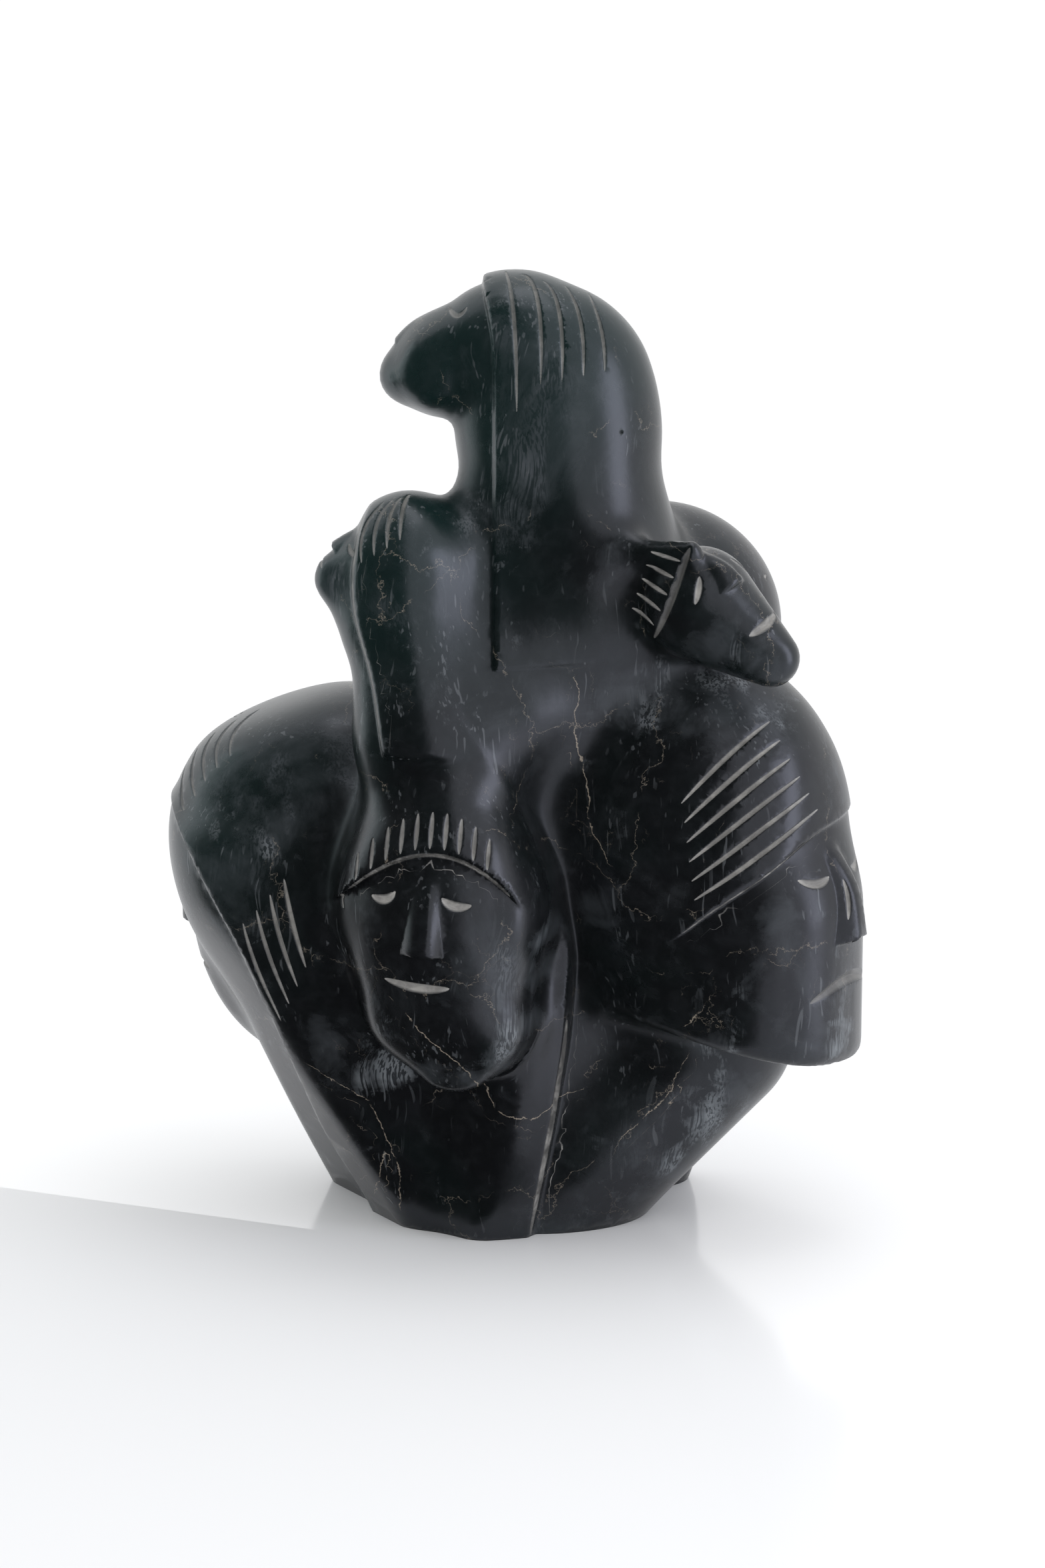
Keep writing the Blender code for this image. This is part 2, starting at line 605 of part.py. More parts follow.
def groove_cutter(tree):
    """All the grooves' cutters as one object."""
    points = []
    faces = []
    for view, start, middle, end, half_width, depth, count in grooves():
        line = stroke_points(tree, view, start, middle, end, count)
        if len(line) < 4:
            continue
        more, sides = spindle(line, half_width, depth)
        faces += [tuple(len(points) + k for k in face) for face in sides]
        points += more
    mesh = bpy.data.meshes.new("groove_cutter")
    mesh.from_pydata(np.array(points).tolist(), [], faces)
    shape = bmesh.new()
    shape.from_mesh(mesh)
    bmesh.ops.recalc_face_normals(shape, faces=shape.faces)
    shape.to_mesh(mesh)
    shape.free()
    cutter = bpy.data.objects.new("groove_cutter", mesh)
    bpy.context.scene.collection.objects.link(cutter)
    return cutter


def grooved(mesh):
    """The stone's mesh with every groove cut out of it."""
    shape = bmesh.new()
    shape.from_mesh(mesh)
    cutter = groove_cutter(BVHTree.FromBMesh(shape))
    shape.free()
    stone = bpy.data.objects.new("ungrooved_stone", mesh)
    bpy.context.scene.collection.objects.link(stone)
    cut = stone.modifiers.new("hair, eyes and mouths", "BOOLEAN")
    cut.operation = "DIFFERENCE"
    cut.solver = "EXACT"
    cut.use_self = True
    cut.object = cutter
    finished = evaluated(stone)
    bpy.data.objects.remove(stone)
    bpy.data.objects.remove(cutter)
    return finished


def without_crumbs(mesh):
    """Drop the chips that a groove cuts loose, and keep the stone itself."""
    shape = bmesh.new()
    shape.from_mesh(mesh)
    waiting = set(shape.verts)
    largest = set()
    while waiting:
        piece = {waiting.pop()}
        edge_of_piece = list(piece)
        while edge_of_piece:
            corner = edge_of_piece.pop()
            for edge in corner.link_edges:
                other = edge.other_vert(corner)
                if other not in piece:
                    piece.add(other)
                    edge_of_piece.append(other)
        waiting -= piece
        if len(piece) > len(largest):
            largest = piece
    loose = [corner for corner in shape.verts if corner not in largest]
    bmesh.ops.delete(shape, geom=loose, context="VERTS")
    shape.to_mesh(mesh)
    shape.free()


def stone_material():
    material = bpy.data.materials.new("polished dark serpentine")
    material.use_nodes = True
    shader = material.node_tree.nodes["Principled BSDF"]
    shader.inputs["Base Color"].default_value = STONE_COLOUR
    shader.inputs["Roughness"].default_value = STONE_ROUGHNESS
    shader.inputs["Metallic"].default_value = 0.0
    return material


def to_real_size(mesh):
    """Stand the mesh on z = 0 with the middle of its box over the origin, in metres."""
    corners = np.array([vertex.co for vertex in mesh.vertices])
    low = corners.min(0)
    high = corners.max(0)
    mesh.transform(Matrix.Translation((-(low[0] + high[0]) / 2, -(low[1] + high[1]) / 2, -low[2])))
    mesh.transform(Matrix.Scale(UNIT, 4))


def build():
    for old in list(bpy.data.objects):
        bpy.data.objects.remove(old)
    whole = new_object("whole_stone", *carved())
    thin = whole.modifiers.new("large facets", "DECIMATE")
    thin.ratio = FACETS / len(whole.data.polygons)
    mesh = evaluated(whole)
    bpy.data.objects.remove(whole)
    sawn(mesh)
    mesh = grooved(mesh)
    without_crumbs(mesh)
    to_real_size(mesh)
    mesh.materials.clear()
    mesh.materials.append(stone_material())
    stone = bpy.data.objects.new("stone_carving", mesh)
    bpy.context.scene.collection.objects.link(stone)


build()
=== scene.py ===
"""Looks of the stone carving of seven heads: the finely carved stone, its finish and its light.

The carving is one piece. Its form is drawn here as in the part's own source, as a blend of
swells in units of a 460th of its height, and is meshed finely enough for the smooth
swells, the stepped hair edges and the noses. The hair strokes, eyes and mouths are
chiselled along paths on the stone by Geometry Nodes. Masks on the mesh tell the stone's
material where it is cut, veined, hollow or worn dusty, and where a hair or robe edge is
rubbed and lit with a painted highlight; a green rim light is painted up on its left.
"""

import bpy
import bmesh
import numpy as np
from mathutils import Matrix, Vector
from mathutils.bvhtree import BVHTree
from mathutils.kdtree import KDTree

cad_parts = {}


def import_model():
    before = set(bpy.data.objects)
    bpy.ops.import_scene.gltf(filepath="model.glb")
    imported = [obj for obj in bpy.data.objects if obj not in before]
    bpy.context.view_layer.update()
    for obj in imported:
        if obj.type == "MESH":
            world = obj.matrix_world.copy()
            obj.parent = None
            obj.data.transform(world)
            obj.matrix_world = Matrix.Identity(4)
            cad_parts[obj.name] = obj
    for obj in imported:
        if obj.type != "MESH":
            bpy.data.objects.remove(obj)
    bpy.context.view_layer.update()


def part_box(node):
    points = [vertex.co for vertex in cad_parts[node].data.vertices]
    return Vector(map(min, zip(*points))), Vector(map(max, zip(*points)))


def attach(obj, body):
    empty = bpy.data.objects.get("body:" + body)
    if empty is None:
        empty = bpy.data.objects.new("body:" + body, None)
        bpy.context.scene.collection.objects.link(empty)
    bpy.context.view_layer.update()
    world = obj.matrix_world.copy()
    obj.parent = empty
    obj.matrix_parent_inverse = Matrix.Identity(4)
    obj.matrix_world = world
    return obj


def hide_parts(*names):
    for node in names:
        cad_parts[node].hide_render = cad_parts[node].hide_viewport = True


# The camera and its lens
SENSOR_HEIGHT = 36.0
LENS = 105.0
CAMERA_DISTANCE = 2200.0  # from the carving's middle, in drawn units
CAMERA_RAISED = 13.0  # degrees above level
CAMERA_TARGET = (1.7, 0.0, 216.0)
FARTHEST_SEEN = 50.0  # metres

# Working steps, in drawn units
BLOCK = 7.0  # side of the cubes that block out the stone
GRAIN = 3.4  # grid of the even mesh
QUICK_GRAIN = 6.0
SPLITS = 3  # how often long edges may be halved
SMOOTHINGS = 4  # how often the points are evened out
FINE_EDGE = 1.0  # longest edge left on a step or a nose
FINE_BEND = 0.25  # relief that an edge may pass over unsplit
BOW_WEIGHT = 3  # how much more a bow in the relief counts than a slope
STROKE_EDGE = 0.65  # longest edge left beside a stroke
STROKE_MARGIN = 0.4  # fine mesh left beside a stroke
STROKE_SPACING = 0.5  # between the points of a stroke's path
STROKE_LEAST = 5  # points in the shortest stroke
STROKE_BENT = 1.4  # how much longer a stroke may be on the stone than as drawn
STROKE_LEAST_HALF = 0.15
STROKE_ENDS = (0.45, 0.7)  # how blunt its ends are in width and in depth: 0 blunt, 1 pointed
CHISEL_DEPTH = 0.9  # share of a stroke's drawn depth that is cut
CHISEL_SHARPNESS = 0.9  # 1 cuts a plain V, less a rounder one
CUT_LEAST = -2.0  # the mask of a cut is 0 at its edge, 1 in its middle, and stops here
CUT_FULL = 0.45  # where the mask shows the whole chalk of a cut
MOST_TRIANGLES = 190000  # of the finished mesh, which is thinned where it is smoothest
REACH = 400.0  # where the sight lines for the strokes start
FEELER = 9.0  # how far out the hollows of the form are felt
HOLLOW_FULL = 0.75  # the share of a feeler that makes a full hollow
SAW_ALLOWANCE = 10.0  # stone left below the ground line until the base is sawn
SAW_WIDTH = 0.02  # how near the ground line a corner counts as on it

# The blocks that the stone is first stacked from fill this box
BLOCKS_FROM = (-190.0, -140.0, -24.0)
BLOCKS_TO = (190.0, 150.0, 474.0)

# Relief, in drawn units
HAIR_STEP = 4.0  # hair above face and neck
LOW_LEFT_HAIR_STEP = 6.0
FRINGE_STEP = 3.0
STEP_BEVEL = 1.3  # half the width of a step's slope
ROBE_BEVEL = 3.0
LINE_BEND = 7.0  # how far from its corners a drawn line bends


def facing(yaw, pitch, roll):
    """Axes of a head: to its side, forward out of the face, and up to the crown.

    Yaw 0 looks at the viewer and grows towards +X; pitch looks up; roll leans the crown.
    """
    yaw, pitch, roll = np.radians((yaw, pitch, roll))
    forward = np.array((np.sin(yaw) * np.cos(pitch), -np.cos(yaw) * np.cos(pitch), np.sin(pitch)))
    level = np.array((np.cos(yaw), np.sin(yaw), 0.0))
    upright = np.cross(forward, level)
    side = level * np.cos(roll) - upright * np.sin(roll)
    up = upright * np.cos(roll) + level * np.sin(roll)
    return np.stack((side, forward, up))


# Each face: the point between its brows and the foot of its nose, and where it looks
FACES = {
    "top": ((-44, 14, 434), facing(-97, 42, 0)),
    "upper_left": ((-86, -25, 336), facing(-112, 30, 0)),
    "upper_right": ((100, -60, 324), facing(66, 40, 0)),
    "upper_back": ((118, 92, 290), facing(142, 10, 0)),
    "low_middle": ((-44, -104, 174), facing(-2, 0, 4)),
    "low_right": ((158, -50.3, 168), facing(61, 0, 0)),
    "low_left": ((-166, 62, 145), facing(-98, -8, 0)),
}

# Sight lines that are not tied to a face
VIEWS = {
    "front": ((0, 0, 0), np.array(((1.0, 0, 0), (0, -1.0, 0), (0, 0, 1.0)))),
    "back": ((0, 0, 0), np.array(((1.0, 0, 0), (0, 1.0, 0), (0, 0, 1.0)))),
    "crown": ((-150, 14, 228), facing(-60, 40, 0)),
}

# Each nose: its face, brow and foot heights, half widths there, and how far it stands out
NOSES = (
    ("top", 4, -14, 4, 8, 1.2),
    ("upper_left", 12, 0, 3, 7, 3.0),
    ("upper_right", 22, 0, 3, 7, 3.4),
    ("upper_back", 22, -10, 4, 10, 4.5),
    ("low_middle", 20, -16, 5, 9.5, 8),
    ("low_right", 32, -16, 6, 12.5, 8),
    ("low_left", 26, -12, 5, 10, 5),
)
NOSE_ROUNDING = 1.6  # 1 is a roof, 2 a round back
NOSE_FOOT_SLOPE = 2.4  # height over which the foot of a nose is cut back

# Lines over the front of the stone: places across (x) at heights (z)
TOP_HAIRLINE = ((270, 425, 440, 452, 466), (-11.5, -11.5, -13, -16, -18.5))
LOW_LEFT_HAIRLINE = ((-20, 8, 42, 96, 145, 195, 215), (-66, -76, -96, -115, -134, -164, -178))
UPPER_LEFT_HAIRLINE = ((240, 248, 281, 307, 324, 351, 364), (-62, -63, -68, -76, -78, -74, -66))
ROBE_EDGE = ((0, 33, 60, 98, 144, 186, 230, 280), (6, 12, 17, 23, 26, 19, -3, -36))
ROBE_STEP = ((0, 60, 110, 135, 170, 230, 280), (17, 14, 10, 5, 2, 1, 0))
FACET_EDGE = ((0, 34, 65, 102, 125), (-25, -12, 0, 12, 20))

# Line over the low right face: its height (z) at places across (x)
LOW_RIGHT_HAIRLINE = ((60, 77, 90, 105, 121, 135, 147, 162), (146, 160, 172, 182, 192, 202, 206, 208))

# The fringe over the low middle face: its arch's top across and up, its fall and half width
FRINGE_ARCH = (4.0, 31.0, 23.0, 40.0)

# Fans of hair strokes: view, count, first stroke, last stroke, half width, depth.
# A stroke is a start, a middle and an end, each across and up.
FANS = (
    ("front", 1, ((-9, 462), (-3, 450), (-1, 401)), ((-9, 462), (-3, 450), (-1, 401)), 1.0, 2.0),
    ("front", 4, ((1, 461), (9, 450), (10, 414)), ((32, 453), (38.5, 438), (40, 419)), 1.0, 2.0),
    ("back", 5, ((-9, 462), (-2, 446), (-1, 401)), ((31, 453), (39, 436), (40, 419)), 1.0, 2.0),
    ("front", 4, ((-63, 359), (-72, 348), (-73, 334)), ((-51, 362), (-54, 357), (-55, 345)), 1.0, 2.0),
    ("front", 5, ((61.5, 338.5), (68, 337), (74.5, 335.5)),
     ((53, 311), (58, 308.5), (62.5, 305)), 1.0, 1.9),
    ("front", 6, ((118, 256), (98, 243), (76, 222)), ((141, 215), (112, 198), (82, 177)), 1.15, 2.2),
    ("front", 4, ((-111, 181), (-107, 161), (-101, 139)),
     ((-131, 158), (-125, 136), (-114, 108)), 1.15, 2.2),
    ("crown", 5, ((-5, 33), (4, 19), (21, 3)), ((-21, -9), (-5, -23), (7, -30)), 1.0, 2.0),
    ("back", 5, ((-129, 249), (-136, 241), (-139, 226)),
     ((-166, 214), (-165, 207), (-162, 199)), 1.0, 2.0),
    ("back", 6, ((118, 256), (98, 243), (76, 222)), ((141, 215), (112, 198), (82, 177)), 1.15, 2.2),
    ("back", 5, ((60, 336), (48, 322), (40, 300)), ((92, 334), (84, 318), (76, 296)), 1.1, 2.0),
)

# The fringe's own short strokes: count, first and last place across, how long at the
# ends and how much longer in the middle, half width, depth
FRINGE_STROKES = (10, -33.5, 27.5, 11, 4, 1.1, 1.8)
FRINGE_GAP = 3.5  # between the hairline and their feet

# Eyes and mouths: face or view, start, middle, end (across and up), half width, depth
FEATURES = (
    ("low_middle", (-25, 8), (-19, 8), (-14.5, 12), 2.4, 2.4),
    ("low_middle", (8, 12), (14, 9), (21, 9.5), 2.4, 2.4),
    ("low_middle", (-16.5, -31), (-1, -32.5), (13.5, -31.5), 2.6, 2.6),
    ("low_middle", (-39.5, 5), (-40, 1), (-39, -3), 1.1, 1.4),
    ("low_right", (-28, 17), (-20, 14.5), (-11, 16), 2.4, 2.6),
    ("low_right", (13, 16), (21, 14.5), (29, 17), 2.4, 2.6),
    ("low_right", (-28, -41.5), (0, -35), (28, -41.5), 3.2, 3.2),
    ("low_right", (-5.5, 14), (-6.5, 5), (-8, -4), 1.2, 1.6),
    ("front", (83.5, 328.5), (83, 323), (81.5, 317), 1.6, 2.0),
    ("front", (120, 310), (114, 306), (107, 302), 2.3, 2.6),
    ("upper_right", (11, 12), (15, 7.5), (19, 3), 1.6, 2.0),
    ("front", (-33.5, 446), (-29, 443), (-24.5, 446.5), 1.6, 1.6),
    ("back", (-33.5, 446), (-29, 443), (-24.5, 446.5), 1.6, 1.6),
    ("upper_left", (-15, 8), (-12, 7), (-8, 8), 1.4, 1.6),
    ("upper_left", (8, 8), (12, 7), (15, 8), 1.4, 1.6),
    ("upper_left", (-9, -9), (0, -8), (9, -9), 1.4, 1.8),
    ("upper_back", (-24, 8), (-18, 7), (-12, 9), 2.2, 2.2),
    ("upper_back", (12, 9), (18, 7), (24, 8), 2.2, 2.2),
    ("upper_back", (-13, -22), (0, -21), (13, -22), 2.2, 2.4),
    ("low_left", (-28, 14), (-21, 13), (-14, 15), 2.4, 2.4),
    ("low_left", (14, 15), (21, 13), (28, 14), 2.4, 2.4),
    ("low_left", (-17, -34), (0, -32), (17, -34), 2.4, 2.6),
)

# The cut that bevels the hair beside the upper right face
SIDE_LOCK_CUT = ((79, 342), (72, 323), (63, 298))
SIDE_LOCK_SIZE = (2.3, 2.6)


def blend(a, b, radius):
    """Smooth union of two forms."""
    reach = np.maximum(radius - np.abs(a - b), 0.0) / radius
    return np.minimum(a, b) - reach * reach * radius * 0.25


def trim(a, b, radius):
    """Smooth intersection of two forms."""
    return -blend(-a, -b, radius)


def ramp(x, low, high):
    """0 below low, 1 above high and an even S between them."""
    t = np.clip((x - low) / (high - low), 0.0, 1.0)
    return t * t * (3.0 - 2.0 * t)


def drawn(line, at):
    """A line through its points, with its corners rounded."""
    return sum(np.interp(at + k * LINE_BEND, *line) for k in (-1.0, -0.5, 0.0, 0.5, 1.0)) / 5


def egg(p, centre, radii):
    """Distance, near the surface, to an upright egg."""
    q = p - np.array(centre, float)
    r = np.array(radii, float)
    near = np.sqrt(((q / r) ** 2).sum(1))
    slope = np.sqrt(((q / r ** 2) ** 2).sum(1))
    return near * (near - 1.0) / np.maximum(slope, 1e-9)


def post(p, centre, axes, radii, power):
    """Distance to an upright post whose plan is a squared-off ellipse along axes."""
    q = (p - np.array((centre[0], centre[1], 0.0))) @ axes[:2].T
    r = np.array(radii, float)
    a = np.abs(q / r) + 1e-9
    near = (a ** power).sum(1) ** (1.0 / power)
    slope = (a ** (power - 1.0)) / r * (near ** (1.0 - power))[:, None]
    return (near - 1.0) / np.maximum(np.sqrt((slope ** 2).sum(1)), 1e-9)


def limb(p, start, end, thin=1.0, thin_along=(0, 1, 0)):
    """Distance to a tapered limb between two balls (x, y, z, radius), thinned one way."""
    a = np.array(start[:3], float)
    b = np.array(end[:3], float)
    way = np.array(thin_along, float)
    way /= np.linalg.norm(way)
    middle = (a + b) / 2
    widen = (1.0 / thin - 1.0)
    q = p + ((p - middle) @ way)[:, None] * way * widen
    a = a + ((a - middle) @ way) * way * widen
    b = b + ((b - middle) @ way) * way * widen
    axis = b - a
    length2 = axis @ axis
    fall = start[3] - end[3]
    slant2 = length2 - fall * fall
    pa = q - a
    along = pa @ axis
    beyond = along - length2
    off = pa * length2 - along[:, None] * axis
    off2 = (off * off).sum(1)
    split = np.sign(fall) * fall * fall * off2
    side = (np.sqrt(off2 * slant2 / length2) + along * fall) / length2 - start[3]
    at_end = np.sign(beyond) * slant2 * beyond * beyond * length2 > split
    at_start = np.sign(along) * slant2 * along * along * length2 < split
    end_cap = np.sqrt(off2 + beyond * beyond * length2) / length2 - end[3]
    start_cap = np.sqrt(off2 + along * along * length2) / length2 - start[3]
    return np.where(at_end, end_cap, np.where(at_start, start_cap, side))


def flat(p, point, normal):
    """Distance past a plane."""
    n = np.array(normal, float)
    return (p - np.array(point, float)) @ (n / np.linalg.norm(n))


# The swells of each part, in the order they join. The first number is how softly a swell
# joins those before it. An egg has a centre and radii; a limb has two balls, each a
# centre with a radius, and may be thinned.
TRUNK = (
    (0, egg, (-16, 24, 110), (90, 66, 150)),
    (40, egg, (20, 10, 265), (66, 54, 110)),
    (26, limb, (14, 8, 8, 41), (90, 8, 92, 45)),
    (26, egg, (54, 56, 24), (36, 22, 48)),
)
LOW_LEFT_HEAD = (
    (0, egg, (-91, 34, 184), (80.5, 74, 75)),
    (30, limb, (-50, 32, 8, 49), (-84, 18, 150, 66)),
)
LOW_LEFT_FACE = (12, egg, (-104, 60, 147), (59, 46, 84))
LOW_LEFT_CROWN_CUT = (10, (-125, 34, 247), (-0.34, 0.0, 0.94))
LOW_RIGHT_HAIR = ((0, egg, (86, -6, 190), (73, 64, 95)),)
LOW_RIGHT_FACE = ((99, -17), (53, 66), 2.45)
LOW_RIGHT_JAW_CUT = (9, (153, -53, 90), (-0.21, 0.0, -1.0))
LOW_RIGHT_BROW_CUT = (40, (150, -50, 200), (0, 0, 1.0))
UPPER_RIGHT_HEAD = (
    (0, limb, (117.5, -56, 289, 13.5), (84, -43, 312.5, 27), 0.92, (0.2, -0.97, 0.1)),
)
UPPER_RIGHT_CHEEK_CUT = (8, (95, -77, 300), (0.12, -0.97, -0.2))
UPPER_RIGHT_HOOD = (9, limb, (44, -34, 335, 6), (80, -58, 340, 4.5))
UPPER_BACK_HEAD = (22, egg, (67, 57, 283), (61.5, 54, 61))
TOP_HEAD = (
    (0, egg, (17.5, 10, 401), (47.5, 42, 52)),
    (16, limb, (20, 8, 375, 46), (30, 0, 300, 46)),
    (10, egg, (-1, 11, 426), (29, 36, 32)),
)
TOP_FACE = (
    (0, limb, (-53, 14, 412, 13.2), (-13, 12, 427, 27), 1.22),
    (8, egg, (-35, 13, 417), (24, 27, 25)),
)
UPPER_LEFT_HEAD = (
    (0, limb, (-83, -26, 323, 11.5), (-50, -24, 330, 28.5), 0.95, (0.3, 1, 0)),
    (8, limb, (-84, -26, 319, 10), (-62, -30, 305, 22)),
    (16, limb, (-52, -34, 322, 26), (-44, -44, 255, 34)),
)
BREAST = (22, limb, (-16, -8, 340, 20), (-10, -32, 262, 34))
LOW_MIDDLE_HEAD = (
    (0, limb, (-36, -57, 172, 47), (-36, -63, 128, 33)),
    (10, limb, (-36, -63, 128, 33), (-34, -75, 99, 13)),
    (14, limb, (-36, -57, 174, 46), (-36, -45, 232, 34)),
)
LEFT_SIDE_CUT = (5, (-77, 22, 0), (-0.74, -0.47, -0.48))


def joined(p, swells, form=None):
    """A form with more swells blended on, one after another."""
    for softness, shape, *sizes in swells:
        fresh = shape(p, *sizes)
        form = fresh if form is None else blend(form, fresh, softness)
    return form


def cut_flat(p, form, cut):
    softness, point, normal = cut
    return trim(form, flat(p, point, normal), softness)


def low_left_head(p):
    d = cut_flat(p, joined(p, LOW_LEFT_HEAD), LOW_LEFT_CROWN_CUT)
    return joined(p, (LOW_LEFT_FACE,), d)


def low_right_head(p):
    place, radii, squareness = LOW_RIGHT_FACE
    face = post(p, place, FACES["low_right"][1], radii, squareness)
    face = cut_flat(p, cut_flat(p, face, LOW_RIGHT_JAW_CUT), LOW_RIGHT_BROW_CUT)
    return blend(joined(p, LOW_RIGHT_HAIR), face, 10)


def upper_right_head(p):
    d = cut_flat(p, joined(p, UPPER_RIGHT_HEAD), UPPER_RIGHT_CHEEK_CUT)
    return joined(p, (UPPER_RIGHT_HOOD,), d)


def plain_form(p):
    """The stone before its relief, as a distance in drawn units."""
    d = joined(p, TRUNK)
    d = blend(d, low_left_head(p), 22)
    d = blend(d, low_right_head(p), 18)
    d = joined(p, (UPPER_BACK_HEAD,), d)
    d = blend(d, upper_right_head(p), 18)
    d = blend(d, blend(joined(p, TOP_HEAD), joined(p, TOP_FACE), 8), 20)
    d = blend(d, joined(p, UPPER_LEFT_HEAD), 12)
    d = blend(joined(p, (BREAST,), d), joined(p, LOW_MIDDLE_HEAD), 20)
    d = cut_flat(p, d, LEFT_SIDE_CUT)
    return trim(d, -p[:, 2] - SAW_ALLOWANCE, 4)


def nose(p, face, brow, foot, brow_half, foot_half, rise):
    """A wedge that grows from the brow to a foot cut square."""
    place, axes = FACES[face]
    side, forward, up = ((p - np.array(place, float)) @ axes.T).T
    fall = np.clip((brow - up) / (brow - foot), 0.0, 1.2)
    half = brow_half + (foot_half - brow_half) * fall
    across = np.clip(1.15 - (np.abs(side) / half) ** NOSE_ROUNDING, 0, 1)
    down = np.clip(fall, 0, 1) ** 0.8 * ramp(up - foot, NOSE_FOOT_SLOPE / -2, NOSE_FOOT_SLOPE / 2)
    return rise * across * down * ramp(forward, -16, -8)


def fringe_line(side):
    """Height of the low middle face's hairline, an arch across the brow."""
    middle, height, fall, half_width = FRINGE_ARCH
    return height - fall * ((side - middle) / half_width) ** 2


def step(past, rise, fade_from, fade_to):
    """A bevelled step at past = 0 that dies away further on."""
    return rise * ramp(past, -STEP_BEVEL, STEP_BEVEL) * (1 - ramp(past, fade_from, fade_to))


def top_hair(p):
    x, y, z = p.T
    hair = step(x - drawn(TOP_HAIRLINE, z), HAIR_STEP, 20, 70)
    return hair * ramp(z, 283, 287) * (0.5 + 0.5 * ramp(z, 425, 450))


def low_left_hair(p):
    x, y, z = p.T
    hair = step(x - drawn(LOW_LEFT_HAIRLINE, z), LOW_LEFT_HAIR_STEP, 25, 70)
    return hair * (1 - ramp(z, 188, 212)) * ramp(-x, 20, 60)


def upper_left_hair(p):
    x, y, z = p.T
    hair = step(x - drawn(UPPER_LEFT_HAIRLINE, z), HAIR_STEP, 12, 45)
    return hair * ramp(z, 244, 250) * ramp(-y, -5, 20) * ramp(-x, 5, 30)


def low_right_hair(p):
    x, y, z = p.T
    hair = step(z - drawn(LOW_RIGHT_HAIRLINE, x), HAIR_STEP, 20, 70)
    return hair * ramp(x, 62, 105) * (1 - 0.6 * ramp(x, 125, 148)) * ramp(-y, -20, 10)


def robe(p):
    """The robe's edge over the front, and the flat facet below it."""
    x, y, z = p.T
    past = drawn(ROBE_EDGE, z) - x
    edge = drawn(ROBE_STEP, z) * (1 - ramp(past, 20, 60))
    facet = 0.40 * np.clip(x - drawn(FACET_EDGE, z), 0, 40) * (1 - ramp(z, 100, 128))
    return (edge - facet) * ramp(past, -ROBE_BEVEL, ROBE_BEVEL) * ramp(-y, -25, 5)


def fringe(p):
    """The hair above the low middle face stands out and its brow sinks in."""
    place, axes = FACES["low_middle"]
    side, _, up = ((p - np.array(place, float)) @ axes.T).T
    over = up - fringe_line(side)
    hair = step(over, FRINGE_STEP, 10, 40) * (1 - ramp(np.abs(side), 30, 48))
    brow = step(-over, FRINGE_STEP, 5, 50) * (1 - ramp(np.abs(side), 30, 46))
    return (hair - brow) * ramp(-p[:, 1], -25, 5)


def relief(p):
    """How far the hair, the robe and the noses stand out of the plain form."""
    rise = top_hair(p) + low_left_hair(p) + upper_left_hair(p) + low_right_hair(p)
    rise += robe(p) + fringe(p)
    for values in NOSES:
        rise += nose(p, *values)
    return rise


def carved_form(p):
    return trim(plain_form(p) - relief(p), -p[:, 2] - SAW_ALLOWANCE, 4)


def settle(points, form, rounds):
    """Move points along the form's slope until they lie on its surface."""
    probe = 0.4
    for _ in range(rounds):
        here = form(points)
        slope = np.stack([form(points + probe * np.eye(3)[k]) - here for k in range(3)], 1) / probe
        steep = np.maximum((slope ** 2).sum(1), 0.25)
        points = points - np.clip(here / steep, -4.0, 4.0)[:, None] * slope
    return points


# Veins over the front of the stone: half width, then places across and up
VEINS = (
    (0.26, (26, 280), (28, 270), (26, 252), (31, 231), (33, 220), (32, 211), (36, 203), (43, 190)),
    (0.26, (-60, 136), (-41, 115), (-23, 98), (-15, 78), (-11, 68), (0, 64), (8, 62), (18, 70),
     (33, 75)),
    (0.24, (-102, 86), (-71, 69), (-63, 48), (-71, 14)),
    (0.22, (-63, 48), (-58, 35), (-57, 8)),
    (0.24, (76, 113), (104, 128), (125, 137)),
    (0.22, (46, 45), (55, 55), (71, 69), (82, 94)),
)

WIDE_CUT_PALENESS = 0.45  # how pale the widest mouth is cut

# Places on the front that are rubbed dusty: across, up, reach
WORN_PLACES = (
    (14, 160, 8), (10, 138, 9), (2, 118, 9), (-10, 103, 9), (-26, 94, 9), (-42, 96, 9),
    (-62, 84, 12), (50, 266, 14), (72, 268, 16), (96, 266, 16), (118, 262, 13), (42, 335, 9),
    (88, 100, 11), (150, 104, 9), (92, 52, 14), (76, 30, 12), (104, 70, 12), (-118, 196, 10),
    (-92, 100, 12), (34, 168, 10), (118, 150, 15), (106, 128, 13), (124, 168, 12),
    (94, 300, 12), (108, 292, 10),
)

# Small pits, dark and round: across, up, radius
PITS = ((48, 391, 1.1), (-3, 213, 0.5), (62, 268, 0.5))

EDGE_POINTS = 20  # in the line along a rubbed edge that also carries a painted highlight
LINE_REACH = 6.0  # how far from a vein or edge its distance is kept on the mesh
LINE_TAPER = 0.35  # how blunt the ends of a vein or edge are

# Colours of the stone and of its polish, and of the light painted on it
POLISH_TINT = (0.86, 0.88, 1.0, 1.0)
BLACK_STONE = (0.0048, 0.0056, 0.0062, 1.0)
OLIVE_STONE = (0.0040, 0.0072, 0.0070, 1.0)
# painted light: the green rim glow of the upper left edges, painted into the base colour
PAINTED_GREEN_RIM_LIGHT = (0.0050, 0.0160, 0.0150, 1.0)
DUST = (0.080, 0.090, 0.100, 1.0)
BRUSHED_DUST = (0.150, 0.165, 0.175, 1.0)
RUBBED = (0.13, 0.14, 0.15, 1.0)
VEIN = (0.34, 0.29, 0.23, 1.0)
# pale chalk of the cuts, also used for the painted highlight along the hair and robe edges
CHALK_AND_EDGE_HIGHLIGHT = (0.36, 0.35, 0.33, 1.0)

